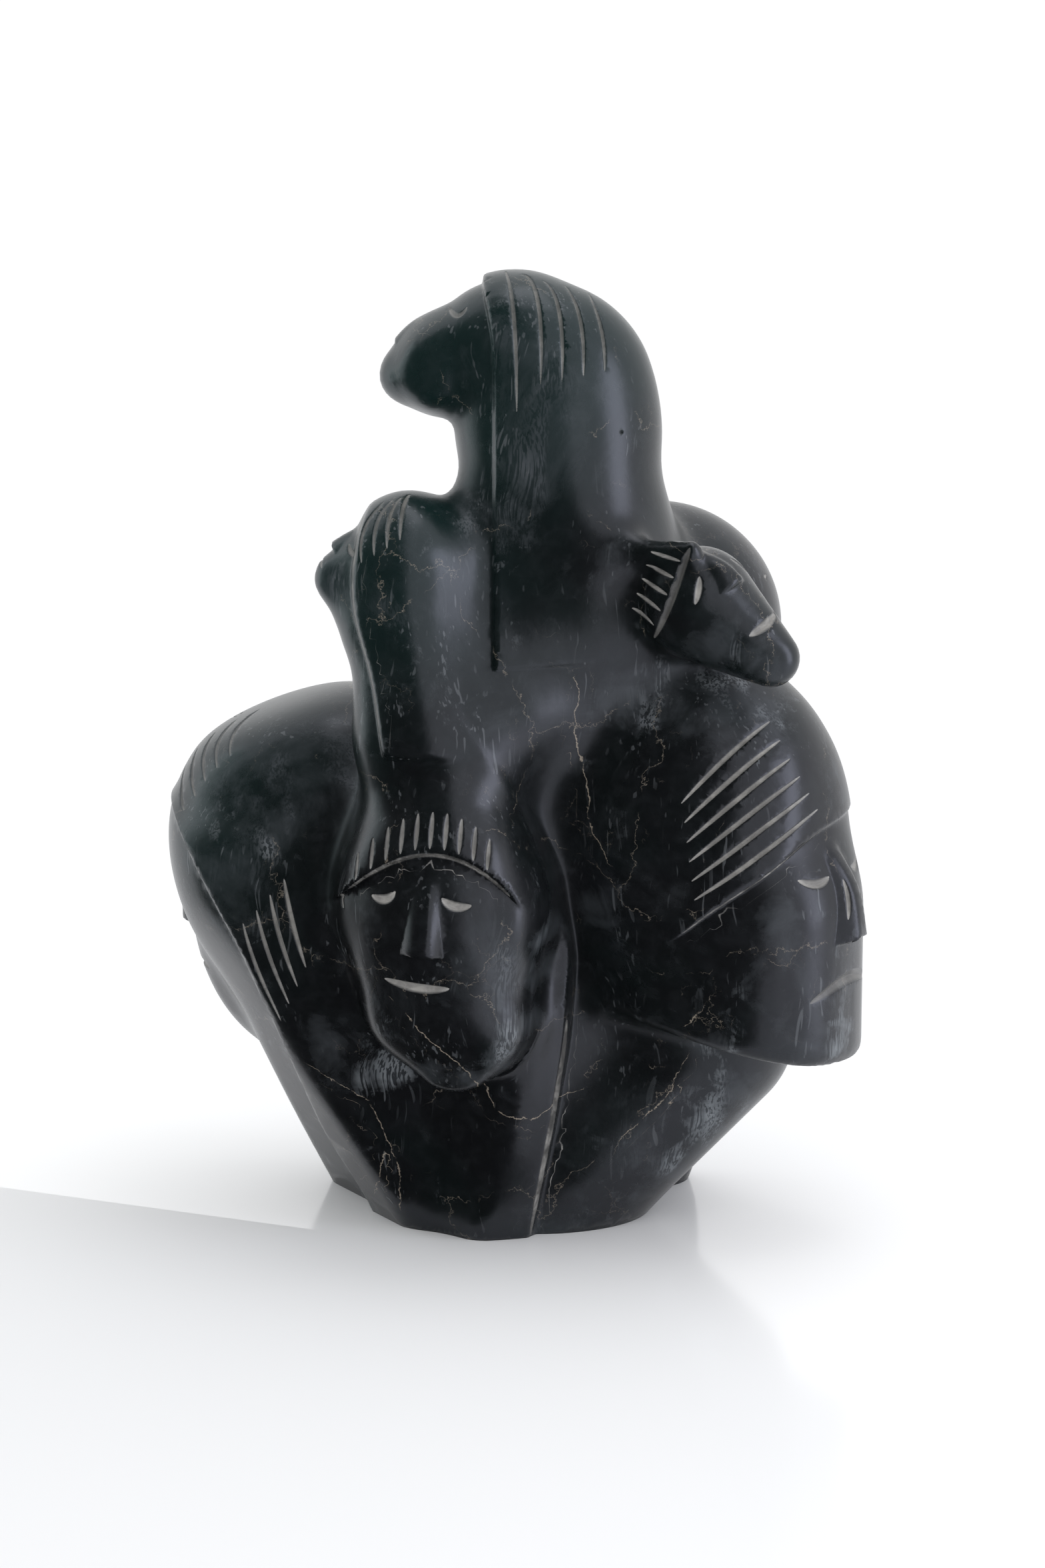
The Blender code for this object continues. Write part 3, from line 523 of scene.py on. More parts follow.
POLISHED_ROUGHNESS = 0.26
DUSTY_ROUGHNESS = 0.44
HOLLOW_ROUGHNESS = 0.50
CUT_ROUGHNESS = 0.75

GREEN_RIM_LIGHT_FROM_TO = (0.33, 0.48)  # up and to the left, in metres, where the painted green rim light begins and where it is full

# Fine scratches and brushed dust: how each set is turned, how fine it is, where it starts
RUBS = (((0.3, 0.5, 0.0), 420.0, 0.66), ((0.2, 1.15, 0.4), 500.0, 0.64), ((1.3, 0.4, 0.9), 460.0, 0.67))
BRUSHINGS = (((0.4, 0.9, 0.2), 900.0, 0.46), ((0.2, 0.3, 0.7), 1100.0, 0.46))
SCRATCH_SQUEEZE = 0.06  # how much the noise is squeezed along a scratch


def mesh_arrays(mesh):
    """A mesh's points and its triangles."""
    mesh.calc_loop_triangles()
    points = np.empty(len(mesh.vertices) * 3)
    mesh.vertices.foreach_get("co", points)
    triangles = np.empty(len(mesh.loop_triangles) * 3, np.int32)
    mesh.loop_triangles.foreach_get("vertices", triangles)
    return points.reshape(-1, 3), triangles.reshape(-1, 3)


def new_object(name, points, faces):
    mesh = bpy.data.meshes.new(name)
    mesh.from_pydata(np.asarray(points).tolist(), [], np.asarray(faces).tolist())
    mesh.validate()
    shape = bpy.data.objects.new(name, mesh)
    bpy.context.scene.collection.objects.link(shape)
    return shape


def blocked_out():
    """The stone as the outer squares of a stack of cubes."""
    low = np.array(BLOCKS_FROM)
    count = np.ceil((np.array(BLOCKS_TO) - low) / BLOCK).astype(int)
    index = np.stack(np.meshgrid(*[np.arange(n) for n in count], indexing="ij"), -1)
    inside = (plain_form(low + BLOCK * (index.reshape(-1, 3) + 0.5)) < 0).reshape(count)
    unit = np.eye(3, dtype=int)
    squares = []
    for axis in range(3):
        first, second = unit[(axis + 1) % 3], unit[(axis + 2) % 3]
        order = [axis] + [k for k in range(3) if k != axis]
        for out in (0, 1):
            bare = inside & ~np.roll(inside, 1 - 2 * out, axis)
            corner = np.argwhere(bare.transpose(order))[:, np.argsort(order)] + out * unit[axis]
            ring = [corner, corner + first, corner + first + second, corner + second]
            squares.append(np.stack(ring if out else ring[::-1], 1))
    corners = np.concatenate(squares).reshape(-1, 3)
    points, index = np.unique(corners, axis=0, return_inverse=True)
    return new_object("blocked_out", low + BLOCK * points, index.reshape(-1, 4))


def evaluated(shape):
    graph = bpy.context.evaluated_depsgraph_get()
    return bpy.data.meshes.new_from_object(shape.evaluated_get(graph))


def roughed_out(grain):
    """Points and triangles of the plain form, evenly spread."""
    blocks = blocked_out()
    remesh = blocks.modifiers.new("even grid", "REMESH")
    remesh.mode = "VOXEL"
    remesh.voxel_size = grain
    points, triangles = mesh_arrays(evaluated(blocks))
    bpy.data.objects.remove(blocks)
    return settle(points, plain_form, 6), triangles


def split_edges(points, triangles, wants_split):
    """Halve the edges that wants_split picks and fill each triangle to match."""
    edges = np.sort(triangles[:, [[0, 1], [1, 2], [2, 0]]].reshape(-1, 2), 1)
    unique, back = np.unique(edges, axis=0, return_inverse=True)
    back = back.reshape(-1, 3)
    chosen = wants_split(points[unique[:, 0]], points[unique[:, 1]])
    middle = np.full(len(unique), -1)
    middle[chosen] = len(points) + np.arange(chosen.sum())
    fresh = (points[unique[chosen, 0]] + points[unique[chosen, 1]]) / 2
    points = np.concatenate((points, fresh))
    mids = middle[back]
    done = [triangles[(mids < 0).all(1)]]
    for turn in range(3):
        a, b, c = np.roll(triangles, -turn, 1).T
        ab, bc, ca = np.roll(mids, -turn, 1).T
        one = (ab >= 0) & (bc < 0) & (ca < 0)
        done += [np.stack(t, 1)[one] for t in ((a, ab, c), (ab, b, c))]
        two = (ab >= 0) & (bc >= 0) & (ca < 0)
        done += [np.stack(t, 1)[two] for t in ((ab, b, bc), (a, ab, bc), (a, bc, c))]
    a, b, c = triangles.T
    ab, bc, ca = mids.T
    three = (mids >= 0).all(1)
    done += [np.stack(t, 1)[three] for t in ((a, ab, ca), (ab, b, bc), (ca, bc, c), (ab, bc, ca))]
    return points, np.concatenate(done)


def relaxed(points, triangles, form, rounds):
    """Even out the triangles by drawing each point to its neighbours, kept on the form."""
    edges = triangles[:, [0, 1, 1, 2, 2, 0]].reshape(-1, 2)
    ends = np.concatenate((edges, edges[:, ::-1]))
    many = np.bincount(ends[:, 0], minlength=len(points))[:, None]
    for _ in range(rounds):
        pull = [np.bincount(ends[:, 0], points[ends[:, 1], k], len(points)) for k in range(3)]
        points = settle((points + np.stack(pull, 1) / many) / 2, form, 1)
    return points


def crosses_step(a, b):
    """Edges that run over a step in the relief and are still long."""
    length = np.linalg.norm(a - b, axis=1)
    middle = (a + b) / 2
    bow = np.abs(relief(middle) - (relief(a) + relief(b)) / 2)
    bend = np.maximum(np.abs(relief(a) - relief(b)), bow * BOW_WEIGHT)
    return (bend > FINE_BEND) & (length > FINE_EDGE)


def stroke_points(tree, view, start, middle, end, count):
    """Points on the stone along a stroke, seen from a view or a face."""
    place, axes = view
    side, forward, up = axes
    found = []
    for t in np.linspace(0.0, 1.0, count):
        weights = ((1 - t) ** 2, 2 * t * (1 - t), t * t)
        bow = 2 * np.array(middle) - (np.array(start) + np.array(end)) / 2
        across, height = np.dot(weights, (start, bow, end))
        eye = np.array(place, float) + across * side + height * up + REACH * forward
        hit, _, _, _ = tree.ray_cast(Vector(eye), Vector(-forward))
        if hit is not None:
            found.append(np.array(hit))
    return found


def paleness(view, start):
    """Cuts are full pale low on the right and dimmer up on the left."""
    place, axes = view
    at = np.array(place, float) + start[0] * axes[0] + start[1] * axes[2]
    return 1.0 - 0.4 * ramp(at[2] - at[0], 250.0, 360.0)


def strokes():
    """Every stroke as view or face, three points, half width, depth and paleness."""
    for view, count, first, last, half_width, depth in FANS:
        for mix in np.linspace(0.0, 1.0, count):
            start, middle, end = np.array(first) * (1 - mix) + np.array(last) * mix
            yield VIEWS[view], start, middle, end, half_width, depth, paleness(VIEWS[view], start)
    count, first, last, length, longer, half_width, depth = FRINGE_STROKES
    for side in np.linspace(first, last, count):
        foot = fringe_line(side) + FRINGE_GAP
        top = foot + length + longer * (1 - (side / first) ** 2)
        points = (side, foot), (side, (foot + top) / 2), (side, top)
        yield FACES["low_middle"], *points, half_width, depth, 0.8
    for face, start, middle, end, half_width, depth in FEATURES:
        view = {**FACES, **VIEWS}[face]
        pale = WIDE_CUT_PALENESS if half_width > 3.0 else paleness(view, start)
        yield view, start, middle, end, half_width, depth, pale
    yield VIEWS["front"], *SIDE_LOCK_CUT, *SIDE_LOCK_SIZE, 0.35
    for across, up, radius in PITS:
        points = (across - 0.5, up), (across, up), (across + 0.5, up)
        yield VIEWS["front"], *points, radius, radius, -1.0


def stroke_paths(points, triangles):
    """Rows of place, half width, depth and paleness along every stroke, pointed at both ends."""
    tree = BVHTree.FromPolygons(points.tolist(), triangles.tolist())
    rows = []
    for view, start, middle, end, half_width, depth, pale in strokes():
        run = np.linalg.norm(np.subtract(start, middle)) + np.linalg.norm(np.subtract(middle, end))
        count = int(STROKE_BENT * run / STROKE_SPACING) + STROKE_LEAST
        line = stroke_points(tree, view, start, middle, end, count)
        if len(line) < STROKE_LEAST:
            continue
        full = np.sin(np.pi * (np.arange(len(line)) + 0.5) / len(line))
        halves = half_width * full ** STROKE_ENDS[0] + STROKE_LEAST_HALF
        depths = depth * full ** STROKE_ENDS[1]
        rows += [(*place, half, deep, pale) for place, half, deep in zip(line, halves, depths)]
    return np.array(rows)


def carved(quick):
    """Points and triangles of the carved form, and the paths of its strokes."""
    grain, splits, smoothings = (QUICK_GRAIN, 1, 1) if quick else (GRAIN, SPLITS, SMOOTHINGS)
    points, triangles = roughed_out(grain)
    for _ in range(splits):
        points, triangles = split_edges(points, triangles, crosses_step)
        points = settle(points, plain_form, 1)
    points = relaxed(settle(points, carved_form, 2), triangles, carved_form, smoothings)
    paths = stroke_paths(points, triangles)
    near = KDTree(len(paths))
    for k, row in enumerate(paths):
        near.insert(row[:3], k)
    near.balance()

    def beside_stroke(a, b):
        length = np.linalg.norm(a - b, axis=1)
        wanted = length > STROKE_EDGE
        middles = (a + b) / 2
        for k in np.nonzero(wanted)[0]:
            _, row, distance = near.find(middles[k])
            wanted[k] = distance < paths[row, 3] + STROKE_MARGIN * (1 + length[k])
        return wanted

    for _ in range(splits):
        points, triangles = split_edges(points, triangles, beside_stroke)
    return relaxed(points, triangles, carved_form, 2), triangles, paths


def sawn(shape):
    """Cut the mesh flat at the ground and close it with one face."""
    everything = shape.verts[:] + shape.edges[:] + shape.faces[:]
    bmesh.ops.bisect_plane(shape, geom=everything, dist=SAW_WIDTH, plane_co=(0, 0, 0),
                           plane_no=(0, 0, -1), clear_outer=True)
    rim = [edge for edge in shape.edges if edge.is_boundary]
    bmesh.ops.contextual_create(shape, geom=rim)
    bmesh.ops.recalc_face_normals(shape, faces=shape.faces)


def hollowness(points):
    """0 on a swell, 1 deep between two: how soon a feeler set out of the stone meets more."""
    probe = 0.5
    here = plain_form(points)
    slope = np.stack([plain_form(points + probe * np.eye(3)[k]) - here for k in range(3)], 1)
    slope /= np.linalg.norm(slope, axis=1)[:, None]
    gap = plain_form(points + FEELER * slope) / FEELER
    return np.clip((1.0 - gap) / HOLLOW_FULL, 0.0, 1.0), slope


def worn(points, slope):
    """1 in the middle of the places rubbed dusty, falling to 0."""
    share = np.zeros(len(points))
    for across, up, reach in WORN_PLACES:
        away = np.hypot(points[:, 0] - across, points[:, 2] - up) / reach
        share = np.maximum(share, np.exp(-away * away))
    return share * ramp(-slope[:, 1], -0.2, 0.2)


def highlit_and_rubbed_edges():
    """The edges of the hair and robe painted pale, a painted highlight on the shiny bevels mixed with
    rubbed wear: half width, then places across and up.
    """
    place, axes = FACES["low_middle"]
    side = np.linspace(-36.0, 39.0, EDGE_POINTS)
    arch = np.array(place) + side[:, None] * axes[0] + fringe_line(side)[:, None] * axes[2]
    across = np.linspace(77.0, 149.0, EDGE_POINTS)
    brow = np.stack((across, drawn(LOW_RIGHT_HAIRLINE, across)), 1)
    height = np.linspace(250.0, 352.0, EDGE_POINTS)
    cheek = np.stack((drawn(UPPER_LEFT_HAIRLINE, height), height), 1)
    foot = np.linspace(1.0, 112.0, EDGE_POINTS)
    robe_side = np.stack((drawn(ROBE_EDGE, foot) - 1.0, foot), 1)
    return (1.4, *arch[:, [0, 2]]), (0.7, *brow), (1.4, *brow[13:]), (0.5, *cheek), (1.3, *robe_side)


def drawn_lines(points, slope, lines):
    """Signed distance across the nearest of some lines on the front, and its half width."""
    across = np.full(len(points), LINE_REACH)
    half = np.zeros(len(points))
    place = points[:, [0, 2]]
    front = slope[:, 1] < 0.1
    for half_width, *line in lines:
        line = np.array(line, float)
        ways = np.diff(line, axis=0)
        lengths = np.linalg.norm(ways, axis=1)
        total = lengths.sum()
        done = 0.0
        for start, way, length in zip(line, ways / lengths[:, None], lengths):
            along = (place - start) @ way
            held = np.clip(along, 0.0, length)
            off = place - start - held[:, None] * way
            distance = np.linalg.norm(off, axis=1)
            closer = front & (distance < np.abs(across))
            taper = np.sin(np.pi * np.clip((done + held) / total, 0.0, 1.0)) ** LINE_TAPER
            taper = np.where((done + along < 0) | (done + along > total), 0.0, taper)
            side = np.where(off @ (-way[1], way[0]) < 0, -1.0, 1.0)
            across = np.where(closer, distance * side, across)
            half = np.where(closer, half_width * taper, half)
            done += length
    return across, half * np.clip(2 - 2 * np.abs(across) / LINE_REACH, 0.0, 1.0)


def set_mask(mesh, name, values):
    """Keep one number for each point of a mesh."""
    made = mesh.attributes.new(name, "FLOAT", "POINT")
    made.data.foreach_set("value", np.ascontiguousarray(values))


def put(tree, kind, inputs=None, **settings):
    """A node with its settings, its values and its links."""
    node = tree.nodes.new(kind)
    for name, value in settings.items():
        setattr(node, name, value)
    for key, value in (inputs or {}).items():
        if isinstance(value, bpy.types.NodeSocket):
            tree.links.new(value, node.inputs[key])
        else:
            node.inputs[key].default_value = value
    return node


def worked(tree, operation, a, b=0.0, c=0.0, clamp=False):
    """One step of arithmetic on numbers or sockets."""
    inputs = {0: a, 1: b, 2: c}
    return put(tree, "ShaderNodeMath", inputs, operation=operation, use_clamp=clamp).outputs[0]


def noise_at(tree, place, scale, detail, roughness=0.5, distortion=0.0, out="Fac"):
    """The noise at a place, as a number or as a colour."""
    inputs = {"Vector": place, "Scale": scale, "Detail": detail,
              "Roughness": roughness, "Distortion": distortion}
    return put(tree, "ShaderNodeTexNoise", inputs).outputs[out]


def risen(tree, value, low, high, how="SMOOTHSTEP"):
    """0 where a value is low, 1 where it is high."""
    inputs = {"Value": value, "From Min": low, "From Max": high}
    return put(tree, "ShaderNodeMapRange", inputs, interpolation_type=how).outputs["Result"]


def wandering(tree, place, amount, scale, detail, roughness=0.5):
    """A place led astray by a coloured noise."""
    noise = noise_at(tree, place, scale, detail, roughness, out="Color")
    inputs = {0: noise, 1: (amount, amount, amount), 2: place}
    return put(tree, "ShaderNodeVectorMath", inputs, operation="MULTIPLY_ADD").outputs["Vector"]


def new_group(name, kind, inputs, outputs):
    """A node group with named sockets: its tree, what comes in and what goes out."""
    tree = bpy.data.node_groups.new(name, kind)
    for label, socket, value in inputs:
        made = tree.interface.new_socket(label, in_out="INPUT", socket_type=socket)
        if value is not None:
            made.default_value = value
    for label, socket in outputs:
        tree.interface.new_socket(label, in_out="OUTPUT", socket_type=socket)
    return tree, tree.nodes.new("NodeGroupInput").outputs, tree.nodes.new("NodeGroupOutput").inputs


def mask_group(name, *numbers, vectors=("Place",)):
    """A shader group from vectors and numbers to one mask: its tree, its sockets, its mask."""
    sockets = [(label, "NodeSocketVector", None) for label in vectors]
    sockets += [(label, "NodeSocketFloat", None) for label in numbers]
    tree, given, made = new_group(name, "ShaderNodeTree", sockets, (("Mask", "NodeSocketFloat"),))
    return tree, given, made["Mask"]


def chiselled_strokes():
    """Geometry Nodes that cut V grooves along the points of a path object."""
    inputs = (
        ("Geometry", "NodeSocketGeometry", None),
        ("Paths", "NodeSocketObject", None),
        ("Depth", "NodeSocketFloat", 1.0),
        ("Sharpness", "NodeSocketFloat", 1.0),
        ("Material", "NodeSocketMaterial", None),
    )
    tree, given, made = new_group("chiselled strokes", "GeometryNodeTree", inputs,
                                  (("Geometry", "NodeSocketGeometry"),))
    source = put(tree, "GeometryNodeObjectInfo", {"Object": given["Paths"]}).outputs["Geometry"]
    nearest = put(tree, "GeometryNodeSampleNearest", {"Geometry": source}, domain="POINT")

    def sampled(data_type, value):
        node = put(tree, "GeometryNodeSampleIndex", {"Geometry": source},
                   data_type=data_type, domain="POINT")
        tree.links.new(value, node.inputs["Value"])
        tree.links.new(nearest.outputs["Index"], node.inputs["Index"])
        return node.outputs["Value"]

    def named(name):
        node = put(tree, "GeometryNodeInputNamedAttribute", {"Name": name}, data_type="FLOAT")
        return sampled("FLOAT", node.outputs["Attribute"])

    here = put(tree, "GeometryNodeInputPosition").outputs["Position"]
    off = put(tree, "ShaderNodeVectorMath", {0: here, 1: sampled("FLOAT_VECTOR", here)},
              operation="DISTANCE").outputs["Value"]
    inside = worked(tree, "SUBTRACT", 1.0, worked(tree, "DIVIDE", off, named("half_width")))
    keen = worked(tree, "POWER", worked(tree, "MAXIMUM", inside, 0.0), given["Sharpness"])
    geometry = given["Geometry"]
    for name, value in (("cut", worked(tree, "MAXIMUM", inside, CUT_LEAST)), ("pale", named("pale"))):
        kept = put(tree, "GeometryNodeStoreNamedAttribute",
                   {"Geometry": geometry, "Name": name, "Value": value},
                   data_type="FLOAT", domain="POINT")
        geometry = kept.outputs["Geometry"]
    deep = worked(tree, "MULTIPLY", named("depth"), given["Depth"])
    into = worked(tree, "MULTIPLY", worked(tree, "MULTIPLY", deep, keen), -1.0)
    outward = put(tree, "GeometryNodeInputNormal").outputs["Normal"]
    way = put(tree, "ShaderNodeVectorMath", {0: outward, "Scale": into}, operation="SCALE")
    moved = put(tree, "GeometryNodeSetPosition", {"Geometry": geometry, "Offset": way.outputs[0]})
    real = put(tree, "GeometryNodeRealizeInstances", {"Geometry": moved.outputs["Geometry"]})
    dressed = put(tree, "GeometryNodeSetMaterial",
                  {"Geometry": real.outputs["Geometry"], "Material": given["Material"]})
    tree.links.new(dressed.outputs["Geometry"], made["Geometry"])
    return tree


def set_input(modifier, label, value):
    for item in modifier.node_group.interface.items_tree:
        if item.item_type == "SOCKET" and item.in_out == "INPUT" and item.name == label:
            modifier[item.identifier] = value


def clouds():
    """Shader group: soft cloudy patches."""
    tree, given, mask = mask_group("cloudy patches", "Scale", "Detail", "From", "To")
    cloud = noise_at(tree, given["Place"], given["Scale"], given["Detail"], 0.62, 0.5)
    tree.links.new(risen(tree, cloud, given["From"], given["To"]), mask)
    return tree


def scratches():
    """Shader group: short fine scratches that run one way, in patches."""
    tree, given, mask = mask_group("fine scratches", "Fineness", "From", vectors=("Place", "Turn"))
    turned = put(tree, "ShaderNodeMapping", {
        "Vector": wandering(tree, given["Place"], 0.012, 30.0, 1.0), "Rotation": given["Turn"],
        "Scale": (1.0, 1.0, SCRATCH_SQUEEZE)}).outputs["Vector"]
    grain = noise_at(tree, turned, given["Fineness"], 1.0)
    line = risen(tree, grain, given["From"], worked(tree, "ADD", given["From"], 0.05))
    patch = noise_at(tree, turned, 40.0, 3.0)
    tree.links.new(worked(tree, "MULTIPLY", line, risen(tree, patch, 0.52, 0.68)), mask)
    return tree


def broken_line():
    """Shader group: a line from its signed distance, swaying and broken where asked."""
    tree, given, mask = mask_group("broken line", "Across", "Half Width", "Sway", "Broken")
    sway = noise_at(tree, given["Place"], 130.0, 5.0, 0.7)
    even = worked(tree, "SUBTRACT", sway, 0.5)
    away = worked(tree, "ABSOLUTE", worked(tree, "MULTIPLY_ADD", even, given["Sway"], given["Across"]))
    inner = worked(tree, "MULTIPLY", given["Half Width"], 0.6)
    outer = worked(tree, "MULTIPLY", given["Half Width"], 1.3)
    gaps = noise_at(tree, given["Place"], 210.0, 3.0)
    kept = risen(tree, gaps, given["Broken"], worked(tree, "ADD", given["Broken"], 0.12))
    tree.links.new(worked(tree, "MULTIPLY", risen(tree, away, outer, inner), kept), mask)
    return tree


def hair_cracks():
    """Shader group: hair-fine natural cracks, the borders of wandering cells, in stretches."""
    tree, given, mask = mask_group("hair cracks", "Scale", "Width", "From")
    cells = put(tree, "ShaderNodeTexVoronoi", {
        "Vector": wandering(tree, given["Place"], 0.035, 38.0, 6.0, 0.65),
        "Scale": given["Scale"]}, feature="DISTANCE_TO_EDGE")
    line = risen(tree, cells.outputs["Distance"], given["Width"], 0.0)
    patch = noise_at(tree, given["Place"], 26.0, 4.0, 0.6)
    kept = risen(tree, patch, given["From"], worked(tree, "ADD", given["From"], 0.06))
    tree.links.new(worked(tree, "MULTIPLY", line, kept), mask)
    return tree


def painted_green_rim():
    """Shader group: painted green rim light, 1 up on the left of the stone where the edges are painted
    with a green glow of light, 0 elsewhere.
    """
    tree, given, mask = mask_group("painted green rim light")
    along = put(tree, "ShaderNodeVectorMath", {0: given["Place"], 1: (-1.0, 0.0, 1.0)},
                operation="DOT_PRODUCT").outputs["Value"]
    blur = noise_at(tree, given["Place"], 12.0, 3.0)
    blurred = worked(tree, "MULTIPLY_ADD", blur, 0.12, along)
    tree.links.new(risen(tree, blurred, *GREEN_RIM_LIGHT_FROM_TO), mask)
    return tree


def stone_material(cloud_group, scratch_group, line_group, crack_group, green_rim_group):
    """Waxed near-black green stone with dusty clouds, scratches, veins and pale matte cuts, and painted
    light: a green rim glow up on the left and a pale highlight along the hair edges, mixed with their
    rubbed wear.
    """
    material = bpy.data.materials.new("polished dark serpentine")
    material.use_nodes = True
    tree = material.node_tree
    shader = tree.nodes["Principled BSDF"]
    shader.inputs["Specular Tint"].default_value = POLISH_TINT
    place = put(tree, "ShaderNodeTexCoord").outputs["Object"]

    def mask(name):
        return put(tree, "ShaderNodeAttribute", attribute_name=name).outputs["Fac"]

    def group(tree_of, values):
        node = put(tree, "ShaderNodeGroup", node_tree=tree_of)
        for label, value in {"Place": place, **values}.items():
            if isinstance(value, bpy.types.NodeSocket):
                tree.links.new(value, node.inputs[label])
            else:
                node.inputs[label].default_value = value
        return node.outputs["Mask"]

    def maths(*values, **settings):
        return worked(tree, *values, **settings)

    def mixed(under, over, share):
        """Two colours or two numbers, mixed by a share."""
        kind, first, out = ("RGBA", 6, 2) if isinstance(over, tuple) else ("FLOAT", 2, 0)
        inputs = {0: share, first: under, first + 1: over}
        return put(tree, "ShaderNodeMix", inputs, data_type=kind).outputs[out]

    def most(masks):
        """The greatest of some masks."""
        greatest = masks[0]
        for other in masks[1:]:
            greatest = maths("MAXIMUM", greatest, other)
        return greatest

    def clouded(scale, detail, low, high):
        return group(cloud_group, {"Scale": scale, "Detail": detail, "From": low, "To": high})

    def scratched(rubs):
        return most([group(scratch_group, {"Turn": turn, "Fineness": fineness, "From": start})
                     for turn, fineness, start in rubs])

    def lined(kind, sway, broken):
        return group(line_group, {"Across": mask(kind + "_across"), "Half Width": mask(kind + "_half"),
                                  "Sway": sway, "Broken": broken})

    def cracked(scale, width, start, strength):
        crack = group(crack_group, {"Scale": scale, "Width": width, "From": start})
        return maths("MULTIPLY", crack, strength)

    colour = mixed(BLACK_STONE, OLIVE_STONE, clouded(8.0, 4.0, 0.42, 0.62))
    # painted light: a green rim glow mixed into the base colour up on the left
    colour = mixed(colour, PAINTED_GREEN_RIM_LIGHT, group(green_rim_group, {}))

    mottle = clouded(110.0, 8.0, 0.40, 0.70)
    streaks = scratched(BRUSHINGS)
    frayed = maths("MULTIPLY_ADD", clouded(60.0, 12.0, 0.35, 0.70), 0.75, mask("worn"))
    brushed = maths("MULTIPLY", risen(tree, frayed, 0.55, 1.30, "LINEAR"), mixed(0.30, 1.0, streaks))
    dust = maths("MULTIPLY", clouded(13.0, 10.0, 0.52, 0.76), mixed(0.35, 1.0, streaks))
    dust = maths("MULTIPLY_ADD", mottle, 0.05, maths("MAXIMUM", dust, brushed), clamp=True)
    colour = mixed(colour, DUST, dust)
    colour = mixed(colour, BRUSHED_DUST, maths("MULTIPLY", brushed, streaks))
    rubbed = scratched(RUBS)
    colour = mixed(colour, RUBBED, maths("MULTIPLY", rubbed, 0.45))

    vein = maths("MULTIPLY", lined("vein", 6.0, 0.38), 0.70)
    tan = most([cracked(13.0, 0.0035, 0.48, 0.40), cracked(40.0, 0.006, 0.58, 0.22), vein])
    colour = mixed(colour, VEIN, tan)

    # painted highlight and wear: a pale line along the hair and robe edges, standing for the light on
    # their shiny bevels and for rubbed wear
    rim = maths("MULTIPLY", lined("edge", 0.5, 0.05), mixed(0.35, 0.85, mottle))
    cut = maths("MULTIPLY", risen(tree, mask("cut"), 0.0, CUT_FULL, "LINEAR"), mask("pale"))
    # the chalk of the cuts together with the painted edge highlight
    chalk_and_edge_highlight = maths("MULTIPLY", most([rim, cut]), mixed(0.60, 1.0, mottle), clamp=True)
    colour = mixed(colour, CHALK_AND_EDGE_HIGHLIGHT, chalk_and_edge_highlight)
    tree.links.new(colour, shader.inputs["Base Color"])

    rough = mixed(POLISHED_ROUGHNESS, DUSTY_ROUGHNESS, dust)
    rough = mixed(mixed(rough, HOLLOW_ROUGHNESS, mask("hollow")), CUT_ROUGHNESS, chalk_and_edge_highlight)
    tree.links.new(rough, shader.inputs["Roughness"])

    grain = noise_at(tree, place, 260.0, 5.0, 0.55)
    height = maths("MULTIPLY_ADD", rubbed, -0.5, grain)
    bump = put(tree, "ShaderNodeBump", {"Strength": 0.10, "Distance": 0.0006, "Height": height})
    tree.links.new(bump.outputs["Normal"], shader.inputs["Normal"])
    return material


def finished_stone(node_box, quick):
    """The carving at its real size in the frame, and the step from drawn units to it."""
    points, triangles, paths = carved(quick)
    shape = new_object("drawn_stone", points, triangles)
    work = bmesh.new()
    work.from_mesh(shape.data)
    sawn(work)
    work.to_mesh(shape.data)
    work.free()
    mesh = shape.data
    points = mesh_arrays(mesh)[0]
    hollow, slope = hollowness(points)
    set_mask(mesh, "hollow", hollow)
    set_mask(mesh, "worn", worn(points, slope))
    for kind, lines in (("vein", VEINS), ("edge", highlit_and_rubbed_edges())):
        across, half = drawn_lines(points, slope, lines)
        set_mask(mesh, kind + "_across", across)
        set_mask(mesh, kind + "_half", half)

    low = points.min(0)
    high = points.max(0)
    box_low, box_high = np.array(node_box[0]), np.array(node_box[1])
    unit = (box_high[2] - box_low[2]) / (high[2] - low[2])
    shift = (box_low + box_high) / 2 - unit * (low + high) / 2
    shift[2] = box_low[2] - unit * low[2]
    to_frame = Matrix.Translation(shift) @ Matrix.Scale(unit, 4)
    mesh.transform(to_frame)
    mesh.shade_smooth()

    route = bpy.data.meshes.new("stroke_paths")
    route.from_pydata((paths[:, :3] * unit + shift).tolist(), [], [])
    set_mask(route, "half_width", paths[:, 3] * unit)
    set_mask(route, "depth", paths[:, 4] * unit)
    set_mask(route, "pale", paths[:, 5])
    route_object = bpy.data.objects.new("stroke_paths", route)
    bpy.context.scene.collection.objects.link(route_object)

    stone_look = stone_material(clouds(), scratches(), broken_line(), hair_cracks(), painted_green_rim())
    chisel = shape.modifiers.new("chiselled strokes", "NODES")
    chisel.node_group = chiselled_strokes()
    set_input(chisel, "Paths", route_object)
    set_input(chisel, "Depth", CHISEL_DEPTH)
    set_input(chisel, "Sharpness", CHISEL_SHARPNESS)
    set_input(chisel, "Material", stone_look)
    thin = shape.modifiers.new("thinned where smooth", "DECIMATE")
    thin.ratio = min(1.0, MOST_TRIANGLES / len(mesh_arrays(mesh)[1]))
    thin.use_collapse_triangulate = True
    finished = evaluated(shape)
    stone = bpy.data.objects.new("carved_stone", finished)
    bpy.context.scene.collection.objects.link(stone)
    bpy.data.objects.remove(shape)
    bpy.data.objects.remove(route_object)
    return stone, unit, Vector(shift)


